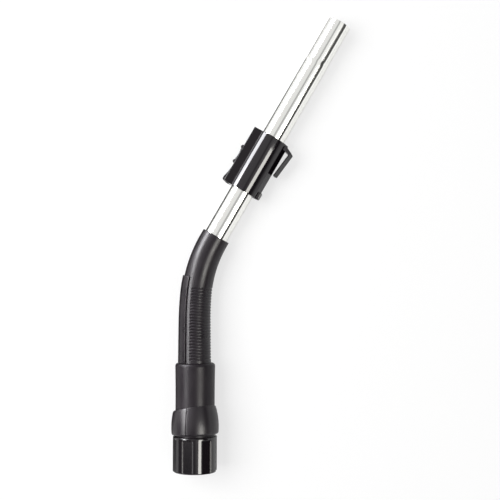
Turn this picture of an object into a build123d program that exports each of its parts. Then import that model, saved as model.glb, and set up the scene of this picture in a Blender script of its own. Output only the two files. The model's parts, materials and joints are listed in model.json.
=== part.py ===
"""Bent hose-end handle of a vacuum cleaner, lying on a table.

Everything is drawn with the neck axis along +Y, the hose mouth at y = 0 and the bend in the XY plane.
The finished pieces are then laid on the floor in one move, with +Z up.
"""

import os
from math import asin, atan2, cos, degrees, hypot, radians, sin, sqrt, tan

from build123d import *

# Driving dimensions, in millimetres and degrees

# Bent metal tube
tube_diameter = 32.0
tube_wall = 1.0
wand_run = 327.0
wand_end_length = 60.0
wand_end_step = 0.3
collar_run = 7.0
tight_bend_radius = 170.0
tight_bend_turn = 25.3
gentle_bend_radius = 440.0
gentle_bend_turn = 5.0
grip_straight_run = 53.0
tube_seat_depth = 50.0

# Grip over the bend, with finger ribs on its inner side
grip_top_wall = 3.2
grip_foot_wall = 4.9
grip_section_count = 11
grip_seat_depth = 15.0
rib_pitch = 3.85
rib_count = 25
rib_clear_of_neck = 5.5
groove_width = 1.9
groove_floor = 0.63
groove_depth = 0.8
rib_sweep = 207.0

# Palm cover on the outer side of the grip
cover_thickness = 2.0
cover_sweep = 124.0
cover_top_turn = 7.0

# Neck that takes the grip and the tube
neck_wall = 5.5
neck_waist_cut = 0.5
neck_waist_rise = 20.7
neck_height = 80.0
neck_shoulder_radius = 4.0
neck_shell_wall = 4.0
tube_socket_wall = 2.5
neck_web = 5.0

# Ball-shaped swivel collar
collar_bulge = 5.0
collar_rim_stand = 0.43
collar_wall = 6.4
collar_drop = 9.7
collar_rise = 24.3
collar_rim_slant = 8.0
collar_rim_nod = -9.0
collar_mouth_slant = 2.0
collar_mouth_nod = -2.0
collar_mouth_round = 2.5
collar_seat_step = 1.4
collar_seat_depth = 12.0
lip_thickness = 5.0

# Fluted hose cuff that turns in the collar
cuff_wall = 6.15
cuff_length = 46.4
cuff_gap = 1.9
cuff_edge_round = 1.5
hose_bore_diameter = 46.0
hose_bore_depth = 36.0
journal_step = 4.7
journal_length = 10.3
spigot_wall = 2.8
snap_bead_rise = 1.0
snap_bead_length = 2.7
snap_lead_length = 4.0
snap_slit_count = 6
snap_slit_width = 1.6
flute_count = 7
flute_width = 15.0
flute_depth = 1.5
flute_top_margin = 2.4
flute_corner_radius = 2.5
flute_turn = -11.2

# Rubber ring between the cuff and the collar
seal_margin = 1.0
seal_width = 2.0
seal_depth = 2.5
seal_proud = 0.2

# Regulator sleeve on the tube
sleeve_from_grip = 68.7
sleeve_length = 82.0
sleeve_wall = 4.5
thumb_block_depth = 6.5
thumb_block_height = 28.0
thumb_block_round = 0.8
hook_side_stand = 2.8
flank_top_reach = 13.3
flank_bend_in = 4.6
flank_bend_height = 20.0
flank_edge_height = 1.6
flare_out = 3.0
flare_height = 5.3
flare_length = 24.7
flare_corner_radius = 3.0

# Parking hook and foot on the sleeve's inner side
hook_width = 14.0
hook_span = 11.9
hook_root_in = 4.1
hook_bend_in = 3.5
hook_bend_drop = 6.3
hook_reach_drop = 8.3
hook_tip_in = 4.0
hook_tip_drop = 44.0
hook_thickness = 5.6
hook_root_depth = 8.0
hook_inner_drop = 1.9
hook_edge_round = 0.8
hook_face_in = 3.8
hook_face_drop = 6.4
foot_stand = 2.0
foot_length = 10.4
foot_width = 12.0
foot_round = 2.0

# Thumb slide and the shutter that it carries over the bleed hole
slide_from_sleeve_foot = 40.6
slide_length = 27.0
slide_width = 16.0
slide_thickness = 2.0
slide_dish = 0.9
slide_travel = 14.0
bump_radius = 2.6
bump_proud = 1.6
ridge_count = 6
ridge_pitch = 2.4
ridge_radius = 0.45
stem_length = 10.0
stem_width = 6.0
shutter_thickness = 2.2
shutter_width = 16.0
chamber_wall = 2.5
chamber_side_room = 1.2
bleed_hole_length = 12.5
bleed_hole_width = 9.0

# Clearances
seat_clearance = 0.05
running_clearance = 0.3
end_clearance = 0.2

# Radii and heights that follow from them
tube_radius = tube_diameter / 2
tube_bore_radius = tube_radius - tube_wall
bend_turn = gentle_bend_turn + tight_bend_turn
grip_top_radius = tube_radius + grip_top_wall
grip_foot_radius = tube_radius + grip_foot_wall
neck_radius = grip_foot_radius + neck_wall
neck_waist_radius = neck_radius - neck_waist_cut
collar_radius = neck_radius + collar_bulge
collar_rim_radius = neck_waist_radius + collar_rim_stand
collar_sag = collar_radius - collar_rim_radius
collar_rim_slope = hypot(tan(radians(collar_rim_slant)), tan(radians(collar_rim_nod)))
collar_crest = collar_rise + collar_rim_radius * collar_rim_slope
collar_barrel_radius = (collar_crest**2 + collar_sag**2) / (2 * collar_sag)
collar_seat_radius = neck_waist_radius - collar_seat_step
journal_radius = collar_radius - collar_wall
spigot_radius = journal_radius - journal_step
airway_radius = spigot_radius - spigot_wall
seal_outer_radius = journal_radius - seal_margin
seal_inner_radius = seal_outer_radius - seal_width
hose_radius = hose_bore_diameter / 2
cuff_radius = hose_radius + cuff_wall
sleeve_barrel_radius = tube_radius + sleeve_wall
thumb_side_reach = sleeve_barrel_radius + thumb_block_depth
flare_reach = thumb_side_reach + flare_out
hook_side_reach = sleeve_barrel_radius + hook_side_stand
hook_reach = hook_side_reach + hook_span
hook_root_reach = hook_side_reach - hook_root_in
hook_bend_reach = hook_reach - hook_bend_in
hook_tip_reach = hook_reach - hook_tip_in
foot_reach = hook_side_reach + foot_stand
shutter_inner_radius = tube_radius + running_clearance
shutter_outer_radius = shutter_inner_radius + shutter_thickness

collar_foot = cuff_length + cuff_gap
collar_middle = collar_foot + collar_drop
journal_top = cuff_length + journal_length
lip_foot = journal_top + running_clearance
lip_top = lip_foot + lip_thickness
neck_foot = lip_top
neck_step = neck_foot + collar_seat_depth
neck_top = neck_foot + neck_height
grip_seat_foot = neck_top - grip_seat_depth
tube_foot = neck_top - tube_seat_depth
bend_foot = neck_top + grip_straight_run

# Path of the tube's centre line, from its foot in the neck to its free end
lower_run = Line((0, tube_foot), (0, bend_foot))
gentle_bend = JernArc(lower_run @ 1, lower_run % 1, gentle_bend_radius, -gentle_bend_turn)
tight_bend = JernArc(gentle_bend @ 1, gentle_bend % 1, tight_bend_radius, -tight_bend_turn)
grip_top = tight_bend @ 1 + (tight_bend % 1) * collar_run
wand_end = grip_top + (tight_bend % 1) * wand_run
upper_run = Line(tight_bend @ 1, wand_end)
tube_path = Wire([lower_run, gentle_bend, tight_bend, upper_run])

gentle_length = radians(gentle_bend_turn) * gentle_bend_radius
tight_length = radians(tight_bend_turn) * tight_bend_radius
grip_length = grip_straight_run + gentle_length + tight_length + collar_run
cover_length = grip_straight_run + gentle_length + radians(cover_top_turn) * tight_bend_radius

# Frame of the straight wand: x across to the inner side of the bend, y along to the free end
wand_frame = Plane(
    origin=grip_top,
    x_dir=(cos(radians(bend_turn)), -sin(radians(bend_turn)), 0),
    z_dir=(0, 0, 1),
)
sleeve_foot = sleeve_from_grip
sleeve_top = sleeve_foot + sleeve_length
slide_middle = sleeve_foot + slide_from_sleeve_foot


def outline(*pieces):
    """Face inside lines and arcs that close on each other."""
    return make_face([edge for piece in pieces for edge in piece.edges()])


def turned(*pieces):
    """Solid turned about the neck axis from an outline in radius and height."""
    return revolve(outline(*pieces), axis=Axis.Y)


def ring(inner, outer, foot, top):
    """Plain ring about the neck axis."""
    return turned(Polyline((inner, foot), (outer, foot), (outer, top), (inner, top), close=True))


def upright(sketch, foot, top):
    """Prism along +Y, from a section drawn in X and Z."""
    return extrude(Plane.XZ.offset(-foot) * sketch, amount=foot - top)


def level(sketch, width):
    """Prism of a plan drawn in X and Y, half its width above and half below the bend plane."""
    return extrude(sketch, amount=width / 2, both=True)


def station(along_grip):
    """Plane square to the tube's path, at a length along it from the neck's shoulder."""
    along = tube_seat_depth + along_grip
    return Plane(
        origin=tube_path.position_at(along, PositionMode.LENGTH),
        x_dir=(0, 0, 1),
        z_dir=tube_path.tangent_at(along, PositionMode.LENGTH),
    )


def grip_radius(along_grip):
    """Outer radius of the grip, which narrows evenly towards the wand."""
    return grip_foot_radius + (grip_top_radius - grip_foot_radius) * along_grip / grip_length


def grip_stations(length):
    """Lengths along the grip at which its sections are drawn."""
    last = grip_section_count - 1
    return [length * section / last for section in range(grip_section_count)]


def path_offset(height):
    """How far the bend has carried the centre line sideways at a height above the hose mouth."""
    gentle_top = gentle_bend @ 1
    if height <= bend_foot:
        return 0.0
    if height <= gentle_top.Y:
        rise = height - bend_foot
        return gentle_bend_radius - sqrt(gentle_bend_radius**2 - rise**2)
    centre_x = gentle_top.X + tight_bend_radius * cos(radians(gentle_bend_turn))
    rise = height - gentle_top.Y + tight_bend_radius * sin(radians(gentle_bend_turn))
    return centre_x - sqrt(tight_bend_radius**2 - rise**2)


def make_wand_tube():
    start = Plane(origin=lower_run @ 0, x_dir=(0, 0, 1), z_dir=lower_run % 0)
    wall = Circle(tube_radius) - Circle(tube_bore_radius)
    tube = sweep(start * wall, path=tube_path)
    bleed_hole = extrude(Plane.YZ * SlotOverall(bleed_hole_length, bleed_hole_width), amount=-tube_diameter)
    shutter_foot = slide_middle - slide_length / 2
    hole_middle = shutter_foot + slide_travel / 2
    tube -= wand_frame.location * Pos(0, hole_middle, 0) * bleed_hole
    sized_end = ring(tube_radius - wand_end_step, tube_diameter, wand_run - wand_end_length, wand_run)
    return tube - wand_frame.location * sized_end


def grip_envelope():
    """Outside of the grip, without ribs or bore."""
    sections = [station(along) * Circle(grip_radius(along)) for along in grip_stations(grip_length)]
    seat = upright(Circle(grip_foot_radius), grip_seat_foot, neck_top)
    return seat + loft(sections)


def finger_grooves():
    """Level grooves between the finger ribs, open on the inner side of the grip."""
    slope = (groove_width - groove_floor) / 2
    half_floor = groove_floor / 2
    half_mouth = groove_width / 2 + slope
    cutters = []
    for rib in range(rib_count):
        height = neck_top + rib_clear_of_neck + rib * rib_pitch
        radius = grip_radius(height - neck_top)
        centre = path_offset(height)
        floor = radius - groove_depth
        mouth = radius + groove_depth
        profile = Polyline(
            (centre + floor, height - half_floor),
            (centre + mouth, height - half_mouth),
            (centre + mouth, height + half_mouth),
            (centre + floor, height + half_floor),
            close=True,
        )
        axis = Axis((centre, 0, 0), (0, 1, 0))
        cut = revolve(outline(profile), axis=axis, revolution_arc=rib_sweep)
        cutters.append(cut.rotate(axis, -rib_sweep / 2))
    return cutters


def make_handle_grip(envelope):
    start = Plane(origin=(0, grip_seat_foot, 0), x_dir=(0, 0, 1), z_dir=(0, 1, 0))
    path = Wire([Line((0, grip_seat_foot), lower_run @ 1), gentle_bend, tight_bend, upper_run])
    bore = sweep(start * Circle(tube_radius + seat_clearance), path=path)
    return envelope - bore - finger_grooves()


def make_palm_cover(envelope):
    half = cover_sweep / 2
    sections = []
    for along in grip_stations(cover_length - end_clearance):
        inner = grip_radius(along) - cover_thickness
        outer = grip_radius(along) + cover_thickness
        sector = outline(
            CenterArc((0, 0), inner, -90 - half, cover_sweep),
            Line(
                (inner * sin(radians(half)), -inner * cos(radians(half))),
                (outer * sin(radians(half)), -outer * cos(radians(half))),
            ),
            CenterArc((0, 0), outer, -90 - half, cover_sweep),
            Line(
                (-inner * sin(radians(half)), -inner * cos(radians(half))),
                (-outer * sin(radians(half)), -outer * cos(radians(half))),
            ),
        )
        sections.append(station(along + end_clearance) * sector)
    return loft(sections) - envelope


def make_neck_sleeve():
    shoulder_foot = neck_top - neck_shoulder_radius
    waist = ThreePointArc(
        (neck_waist_radius, neck_step),
        (neck_waist_radius, neck_step + neck_waist_rise),
        (neck_radius, shoulder_foot),
    )
    shoulder = CenterArc((neck_radius - neck_shoulder_radius, shoulder_foot), neck_shoulder_radius, 0, 90)
    socket_radius = tube_radius + seat_clearance
    shell_bore = neck_waist_radius - neck_shell_wall
    web_foot = grip_seat_foot - neck_web
    stop_foot = tube_foot - tube_socket_wall
    inside = Polyline(
        (neck_radius - neck_shoulder_radius, neck_top),
        (grip_foot_radius + seat_clearance, neck_top),
        (grip_foot_radius + seat_clearance, grip_seat_foot),
        (socket_radius, grip_seat_foot),
        (socket_radius, tube_foot),
        (tube_bore_radius, tube_foot),
        (tube_bore_radius, stop_foot),
        (socket_radius + tube_socket_wall, stop_foot),
        (socket_radius + tube_socket_wall, web_foot),
        (shell_bore, web_foot),
        (shell_bore, neck_foot),
        (collar_seat_radius, neck_foot),
        (collar_seat_radius, neck_step),
        (neck_waist_radius, neck_step),
    )
    return turned(waist, shoulder, inside)


def make_swivel_collar():
    barrel_centre = collar_radius - collar_barrel_radius
    foot_depth = 2 * collar_drop
    foot_radius = barrel_centre + sqrt(collar_barrel_radius**2 - foot_depth**2)
    barrel = turned(
        ThreePointArc((foot_radius, -foot_depth), (collar_radius, 0), (collar_rim_radius, collar_crest)),
        Polyline(
            (collar_rim_radius, collar_crest),
            (0, collar_crest),
            (0, -foot_depth),
            (foot_radius, -foot_depth),
        ),
    )
    barrel = Pos(0, collar_middle, 0) * barrel
    reach = 2 * collar_radius
    below = Box(2 * reach, reach, 2 * reach, align=(Align.CENTER, Align.MAX, Align.CENTER))
    above = Box(2 * reach, reach, 2 * reach, align=(Align.CENTER, Align.MIN, Align.CENTER))
    barrel -= Pos(0, collar_foot, 0) * Rot(collar_mouth_nod, 0, collar_mouth_slant) * below
    barrel = fillet(barrel.edges().sort_by(Axis.Y)[0], collar_mouth_round)
    barrel -= Pos(0, collar_middle + collar_rise, 0) * Rot(collar_rim_nod, 0, collar_rim_slant) * above
    opening_top = collar_middle + reach
    inside = turned(
        Polyline(
            (0, 0),
            (journal_radius + running_clearance, 0),
            (journal_radius + running_clearance, lip_foot),
            (spigot_radius + running_clearance, lip_foot),
            (spigot_radius + running_clearance, lip_top),
            (collar_seat_radius + seat_clearance, lip_top),
            (collar_seat_radius + seat_clearance, neck_step),
            (neck_waist_radius + seat_clearance, neck_step),
            (neck_waist_radius + seat_clearance, opening_top),
            (0, opening_top),
            close=True,
        )
    )
    return barrel - inside


def make_hose_cuff():
    bead_foot = lip_top + running_clearance
    bead_top = bead_foot + snap_bead_length
    spigot_top = bead_top + snap_lead_length
    bead_radius = spigot_radius + running_clearance + snap_bead_rise
    cuff = turned(
        Polyline(
            (hose_radius, 0),
            (cuff_radius, 0),
            (cuff_radius, cuff_length),
            (journal_radius, cuff_length),
            (journal_radius, journal_top),
            (spigot_radius, journal_top),
            (spigot_radius, bead_foot),
            (bead_radius, bead_foot),
            (bead_radius, bead_top),
            (spigot_radius - snap_bead_rise, spigot_top),
            (airway_radius, spigot_top),
            (airway_radius, hose_bore_depth),
            (hose_radius, hose_bore_depth),
            close=True,
        )
    )
    rims = [edge for edge in cuff.edges().filter_by(GeomType.CIRCLE) if edge.radius == cuff_radius]
    cuff = fillet(rims, cuff_edge_round)
    cuff -= ring(seal_inner_radius, seal_outer_radius, journal_top - seal_depth, journal_top)
    flute_height = cuff_length - flute_top_margin
    flute_floor = sqrt(cuff_radius**2 - (flute_width / 2) ** 2) + cuff_edge_round / 2 - flute_depth
    panel = RectangleRounded(flute_width, 2 * flute_height, flute_corner_radius)
    flute = extrude(Plane.XY.offset(flute_floor) * panel, amount=cuff_radius)
    slit = Pos(0, spigot_top, spigot_radius) * Box(
        snap_slit_width, 2 * (spigot_top - lip_foot), 2 * (spigot_radius - airway_radius + snap_bead_rise)
    )
    for turn in range(flute_count):
        cuff -= Rot(Y=flute_turn + 360 * turn / flute_count) * flute
    for turn in range(snap_slit_count):
        cuff -= Rot(Y=360 * turn / snap_slit_count) * slit
    return cuff


def make_swivel_seal():
    inner = seal_inner_radius + seat_clearance
    outer = seal_outer_radius - seat_clearance
    return ring(inner, outer, journal_top - seal_depth, journal_top + seal_proud)


def sleeve_section():
    """Section of the sleeve across the tube: a barrel, a flat thumb block and a flank of two slants."""
    block = Rectangle(thumb_side_reach, thumb_block_height, align=(Align.MAX, Align.CENTER))
    corners = block.vertices().group_by(Axis.X)[0]
    block = fillet(corners, thumb_block_round)
    flank_top = sqrt(sleeve_barrel_radius**2 - flank_top_reach**2)
    flank_bend = flank_bend_height / 2
    edge = flank_edge_height / 2
    flank = make_face(
        Polyline(
            (0, flank_top),
            (flank_top_reach, flank_top),
            (hook_side_reach - flank_bend_in, flank_bend),
            (hook_side_reach, edge),
            (hook_side_reach, -edge),
            (hook_side_reach - flank_bend_in, -flank_bend),
            (flank_top_reach, -flank_top),
            (0, -flank_top),
            close=True,
        ).edges()
    )
    return Circle(sleeve_barrel_radius) + block + flank


def hook_plan():
    """Plan of the hook: a bridge at the sleeve's top end and an arm that leans back along the flank."""
    lean = atan2(hook_reach - hook_tip_reach, hook_tip_drop - hook_reach_drop)
    across = hook_thickness / cos(lean)
    root = flank_top_reach
    bridge_foot = sleeve_top - hook_root_depth
    arm_slope = (hook_reach - hook_tip_reach) / (hook_tip_drop - hook_reach_drop)
    arm_top_drop = hook_root_depth + hook_inner_drop
    inner_top = hook_reach - across - arm_slope * (arm_top_drop - hook_reach_drop)
    return make_face(
        Polyline(
            (root, sleeve_top),
            (hook_root_reach, sleeve_top),
            (hook_bend_reach, sleeve_top - hook_bend_drop),
            (hook_reach, sleeve_top - hook_reach_drop),
            (hook_tip_reach, sleeve_top - hook_tip_drop),
            (hook_tip_reach - across, sleeve_top - hook_tip_drop),
            (inner_top, sleeve_top - arm_top_drop),
            (hook_side_reach, bridge_foot),
            (root, bridge_foot),
            close=True,
        ).edges()
    )


def hook_slants():
    """Space outside the two slanted faces of the hook's arm, above and below the bend plane."""
    tip = Vector(hook_tip_reach, sleeve_top - hook_tip_drop)
    arm = Vector(hook_reach, sleeve_top - hook_reach_drop) - tip
    across = Plane(origin=tip, x_dir=(arm.Y, -arm.X, 0), z_dir=arm)
    half = hook_width / 2
    corner = make_face(
        Polyline(
            (-hook_face_in, half),
            (0, half - hook_face_drop),
            (hook_thickness, half - hook_face_drop),
            (hook_thickness, half),
            close=True,
        ).edges()
    )
    corners = corner + mirror(corner, about=Plane.XZ)
    return extrude(across * corners, amount=arm.length)


def flare_plan():
    """Plan of the thumb rest: the sleeve's outer side flares out towards its lower end."""
    top = sleeve_foot + flare_length
    lip = sleeve_foot + flare_height
    sag = (flare_reach - thumb_side_reach) / 4
    plan = outline(
        ThreePointArc(
            (-thumb_side_reach, top),
            (-(thumb_side_reach + flare_reach) / 2 + sag, (top + lip) / 2),
            (-flare_reach, lip),
        ),
        Polyline(
            (-flare_reach, lip),
            (-flare_reach, sleeve_foot),
            (-thumb_side_reach + thumb_block_round, sleeve_foot),
            (-thumb_side_reach + thumb_block_round, top),
            (-thumb_side_reach, top),
        ),
    )
    corner = plan.vertices().sort_by_distance((-flare_reach, sleeve_foot, 0))[0]
    return fillet(corner, flare_corner_radius)


def foot_plan():
    """Plan of the small rounded foot at the lower end of the hook's flank."""
    inner = flank_top_reach
    plan = Pos(inner, sleeve_foot) * Rectangle(foot_reach - inner, foot_length, align=(Align.MIN, Align.MIN))
    corners = plan.vertices().group_by(Axis.X)[-1]
    return fillet(corners, foot_round)


def make_regulator_sleeve():
    sleeve = upright(sleeve_section(), sleeve_foot, sleeve_top)
    hook = level(hook_plan(), hook_width)
    hook = fillet(hook.edges().filter_by(Axis.Z).sort_by(Axis.X)[-3:], hook_edge_round)
    hook -= hook_slants()
    flare = level(flare_plan(), thumb_block_height - 2 * thumb_block_round)
    foot = level(foot_plan(), foot_width)
    sleeve = sleeve + hook + flare + foot
    sleeve -= upright(Circle(tube_radius + seat_clearance), sleeve_foot, sleeve_top)
    chamber_foot = slide_middle - slide_length / 2 - chamber_side_room
    chamber_length = slide_length + slide_travel + 2 * chamber_side_room
    chamber = Pos(-thumb_side_reach + chamber_wall, chamber_foot, 0) * Box(
        thumb_side_reach - chamber_wall,
        chamber_length,
        shutter_width + 2 * chamber_side_room,
        align=(Align.MIN, Align.MIN, Align.CENTER),
    )
    slot_foot = slide_middle - stem_length / 2 - running_clearance
    slot = Pos(-thumb_side_reach - chamber_wall, slot_foot, 0) * Box(
        3 * chamber_wall,
        stem_length + slide_travel + 2 * running_clearance,
        stem_width + 2 * running_clearance,
        align=(Align.MIN, Align.MIN, Align.CENTER),
    )
    return wand_frame.location * (sleeve - chamber - slot)


def make_thumb_slide():
    seat = -thumb_side_reach - running_clearance
    face = seat - slide_thickness
    half_length = slide_length / 2
    pad = Pos(seat, slide_middle) * Rectangle(slide_thickness, slide_length, align=(Align.MAX, Align.CENTER))
    dish_span = half_length - 2 * bump_radius
    dish_radius = (dish_span**2 + slide_dish**2) / (2 * slide_dish)
    dish_centre = face + slide_dish - dish_radius
    plan = pad - Pos(dish_centre, slide_middle) * Circle(dish_radius)
    outside = Pos(seat, slide_middle) * Rectangle(slide_length, slide_length, align=(Align.MAX, Align.CENTER))
    for side in (-1, 1):
        bump_middle = slide_middle + side * (half_length - bump_radius)
        bump = Pos(face - bump_proud + bump_radius, bump_middle) * Circle(bump_radius)
        plan += bump & outside
    for ridge in range(ridge_count):
        along = (ridge - (ridge_count - 1) / 2) * ridge_pitch
        turn = asin(along / dish_radius)
        plan += Pos(dish_centre + dish_radius * cos(turn), slide_middle + along) * Circle(ridge_radius)
    slide = level(plan, slide_width)
    stem = Pos(seat, slide_middle, 0) * Box(
        thumb_side_reach, stem_length, stem_width, align=(Align.MIN, Align.CENTER, Align.CENTER)
    )
    stem -= upright(Circle(shutter_outer_radius), sleeve_foot, sleeve_top)
    stem &= Pos(seat, slide_middle, 0) * Box(
        thumb_side_reach - shutter_inner_radius,
        slide_length,
        slide_width,
        align=(Align.MIN, Align.CENTER, Align.CENTER),
    )
    return wand_frame.location * (slide + stem)


def make_bleed_shutter():
    arc = Circle(shutter_outer_radius) - Circle(shutter_inner_radius)
    arc &= Rectangle(2 * thumb_side_reach, shutter_width, align=(Align.MAX, Align.CENTER))
    half_length = slide_length / 2
    return wand_frame.location * upright(arc, slide_middle - half_length, slide_middle + half_length)


grip_outside = grip_envelope()
pieces = {
    "wand_tube": make_wand_tube(),
    "handle_grip": make_handle_grip(grip_outside),
    "palm_cover": make_palm_cover(grip_outside),
    "neck_sleeve": make_neck_sleeve(),
    "swivel_collar": make_swivel_collar(),
    "hose_cuff": make_hose_cuff(),
    "swivel_seal": make_swivel_seal(),
    "regulator_sleeve": make_regulator_sleeve(),
    "thumb_slide": make_thumb_slide(),
    "bleed_shutter": make_bleed_shutter(),
}

# Laid on the floor, the handle rests on the sleeve's barrel and on the wider collar. The wand stays level
# and the handle is rolled about the wand's axis until both touch.
collar_centre = wand_frame.to_local_coords(Vector(0, collar_middle, 0))
roll = degrees(asin((collar_radius - sleeve_barrel_radius) / collar_centre.X))
rolled = Rot(Y=-roll) * wand_frame.location.inverse()
whole = Compound(children=[rolled * piece for piece in pieces.values()]).bounding_box()
lying = Pos(-whole.center().X, -whole.center().Y, -whole.min.Z) * rolled

os.makedirs("parts", exist_ok=True)
for name, piece in pieces.items():
    export_step(lying * piece, f"parts/{name}.step")
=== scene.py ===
# %% [markdown]
# A bent vacuum cleaner handle, dressed for the camera
#
# The object is the hose end of a vacuum cleaner's wand: a polished tube bent inside a ribbed grip, a
# sliding suction regulator with a parking hook, a neck, a ball-shaped swivel collar and a fluted cuff.
# The solids come from a CAD model and stay where they are. Each cell below makes one piece with a finer
# skin, in the same place, and gives it the finish of the real material.

import json
import math

import bmesh
import bpy
import numpy as np
from mathutils import Matrix, Vector


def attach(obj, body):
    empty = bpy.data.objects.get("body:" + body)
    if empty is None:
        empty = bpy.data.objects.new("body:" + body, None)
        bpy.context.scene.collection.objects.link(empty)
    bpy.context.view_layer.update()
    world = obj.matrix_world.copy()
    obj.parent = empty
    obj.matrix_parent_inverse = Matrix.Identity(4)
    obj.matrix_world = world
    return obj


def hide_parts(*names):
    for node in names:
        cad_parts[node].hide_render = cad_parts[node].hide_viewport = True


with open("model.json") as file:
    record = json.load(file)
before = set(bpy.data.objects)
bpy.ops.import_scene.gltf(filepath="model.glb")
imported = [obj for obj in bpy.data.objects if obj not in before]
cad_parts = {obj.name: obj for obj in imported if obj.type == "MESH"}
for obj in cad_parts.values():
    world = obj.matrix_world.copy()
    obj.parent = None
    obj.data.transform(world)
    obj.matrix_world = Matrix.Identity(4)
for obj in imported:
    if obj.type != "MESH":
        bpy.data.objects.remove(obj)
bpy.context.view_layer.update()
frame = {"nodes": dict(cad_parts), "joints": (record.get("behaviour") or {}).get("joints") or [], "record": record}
MM = 0.001
print("solids:", sorted(frame["nodes"]))

# %% [markdown]
# Two working frames
#
# The handle lies rolled on its side, so nothing on it is square to the room. It is easier to model each
# piece in a frame of its own and to move the finished mesh in one step. The neck frame has the hose mouth
# at its origin and the neck along +Y. The wand frame starts at the grip's top end, with the wand along +Y.
# In both, +X points to the inner side of the bend and +Z out of the bend's plane. They come from the swivel
# joint and the wand's mount, so they follow the solids.

# %% Frames of the neck and of the wand
WAND_RUN = 327.0

joints = {joint["name"]: joint for joint in frame["joints"]}
mounts = {mount["name"]: mount for mount in frame["record"]["mounts"]}
hose_mouth = Vector(joints["hose_swivel"]["pos_m"])
neck_along = -Vector(joints["hose_swivel"]["axis"]).normalized()
wand_along = Vector(mounts["wand_spigot"]["axis"]).normalized()
wand_mount = mounts["wand_spigot"]
wand_end = Vector(wand_mount["pos_m"]) + wand_along * wand_mount["dims"]["length_mm"] / 2 * MM
plane_up = wand_along.cross(neck_along).normalized()


def placed_frame(origin, along):
    """Matrix from a working frame, +Y along the given direction, to the shared frame."""
    across = along.cross(plane_up)
    turn = Matrix((across, along, plane_up)).transposed().to_4x4()
    return Matrix.Translation(origin) @ turn


neck_frame = placed_frame(hose_mouth, neck_along)
wand_frame = placed_frame(wand_end - wand_along * WAND_RUN * MM, wand_along)
print("neck leans", round(math.degrees(neck_along.angle(wand_along)), 2), "degrees from the wand")

# %% [markdown]
# Outlines with soft corners
#
# Moulded and drawn parts have no sharp corners: a small round on each edge is what catches the light. One
# helper therefore turns a list of corners, each with its own radius, into a closed line of points with arcs
# in place of corners. Long sides are also divided, so that a skin made from the line can bend later.

# %% Helper: soft outline
ARC_STEPS = 6


def soft_outline(corners, longest=math.inf):
    """Closed outline from (x, y, corner radius) in millimetres, with no side longer than longest."""
    points = []
    count = len(corners)
    for index, (x, y, radius) in enumerate(corners):
        here = Vector((x, y))
        before = Vector(corners[index - 1][:2]) - here
        after = Vector(corners[(index + 1) % count][:2]) - here
        if radius == 0:
            points.append(here)
            continue
        half = before.angle(after) / 2
        reach = radius / math.tan(half)
        start = here + before.normalized() * reach
        end = here + after.normalized() * reach
        centre = here + (before.normalized() + after.normalized()).normalized() * (radius / math.sin(half))
        first, last = start - centre, end - centre
        sweep = first.angle_signed(last)
        for step in range(ARC_STEPS + 1):
            points.append(centre + Matrix.Rotation(-sweep * step / ARC_STEPS, 2) @ first)
    divided = []
    for index, here in enumerate(points):
        there = points[(index + 1) % len(points)]
        parts = max(1, math.ceil((there - here).length / longest))
        divided += [here.lerp(there, part / parts) for part in range(parts)]
    return np.array([tuple(point) for point in divided])


print("soft square:", len(soft_outline([(0, 0, 1), (9, 0, 1), (9, 9, 1), (0, 9, 1)])), "points")

# %% [markdown]
# Two ways to make a solid from an outline
#
# Round pieces are turned: an outline in radius and height goes round the Y axis. Flat-sided pieces are
# prisms whose two ends close in over a small round. Both are plain grids of quads with numpy, which gives
# clean rows of faces and even shading, where a chain of Boolean cuts would leave slivers.

# %% Helpers: objects and meshes
def linked(name, data):
    """Object for some data, put into the scene."""
    made = bpy.data.objects.new(name, data)
    bpy.context.scene.collection.objects.link(made)
    return made


def new_piece(name, points, faces):
    """Mesh object from points in millimetres, with its faces turned outwards."""
    mesh = bpy.data.meshes.new(name)
    mesh.from_pydata((np.asarray(points) * MM).tolist(), [], faces)
    grid = bmesh.new()
    grid.from_mesh(mesh)
    bmesh.ops.recalc_face_normals(grid, faces=grid.faces)
    grid.to_mesh(mesh)
    grid.free()
    return linked(name, mesh)


def ring_faces(rings, size, close_rings):
    """Quads between rings of points that follow each other in one list."""
    faces = []
    for ring in range(rings if close_rings else rings - 1):
        low, high = ring * size, (ring + 1) % rings * size
        for spot in range(size):
            after = (spot + 1) % size
            faces.append((low + spot, low + after, high + after, high + spot))
    return faces


print("quads between two rings of four:", len(ring_faces(2, 4, False)))

# %% Helper: turned solids
def turned(name, profile, steps):
    """Solid of revolution about +Y from a closed outline of (radius, height)."""
    turns = np.linspace(0, 2 * math.pi, steps, endpoint=False)
    rings = [np.column_stack((r * np.cos(turns), np.full(steps, y), r * np.sin(turns))) for r, y in profile]
    return new_piece(name, np.concatenate(rings), ring_faces(len(profile), steps, True))


# %% Helpers: soft prisms
def inset(outline, depth):
    """Outline moved inwards along its own normals."""
    ahead = np.roll(outline, -1, axis=0) - np.roll(outline, 1, axis=0)
    normal = np.column_stack((ahead[:, 1], -ahead[:, 0])) / np.linalg.norm(ahead, axis=1)[:, None]
    return outline - normal * depth


def soft_prism(name, outline, low, high, edge, axes, rows=1):
    """Prism of a counter-clockwise outline from low to high, its end edges rounded. axes are the two
    directions of the outline and then the prism's own, as numbers of X, Y and Z."""
    bend = np.linspace(0, math.pi / 2, ARC_STEPS + 1)
    lower = [(edge * (1 - math.sin(turn)), low + edge * (1 - math.cos(turn))) for turn in bend]
    upper = [(depth, high + low - height) for depth, height in reversed(lower)]
    middle = [(0.0, height) for height in np.linspace(lower[-1][1], upper[0][1], rows + 1)[1:-1]]
    rings = []
    for depth, height in lower + middle + upper:
        ring = np.zeros((len(outline), 3))
        ring[:, axes[:2]] = inset(outline, depth)
        ring[:, axes[2]] = height
        rings.append(ring)
    size = len(outline)
    faces = ring_faces(len(rings), size, False)
    faces += [tuple(range(size)), tuple(range((len(rings) - 1) * size, len(rings) * size))]
    return new_piece(name, np.concatenate(rings), faces)


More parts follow.
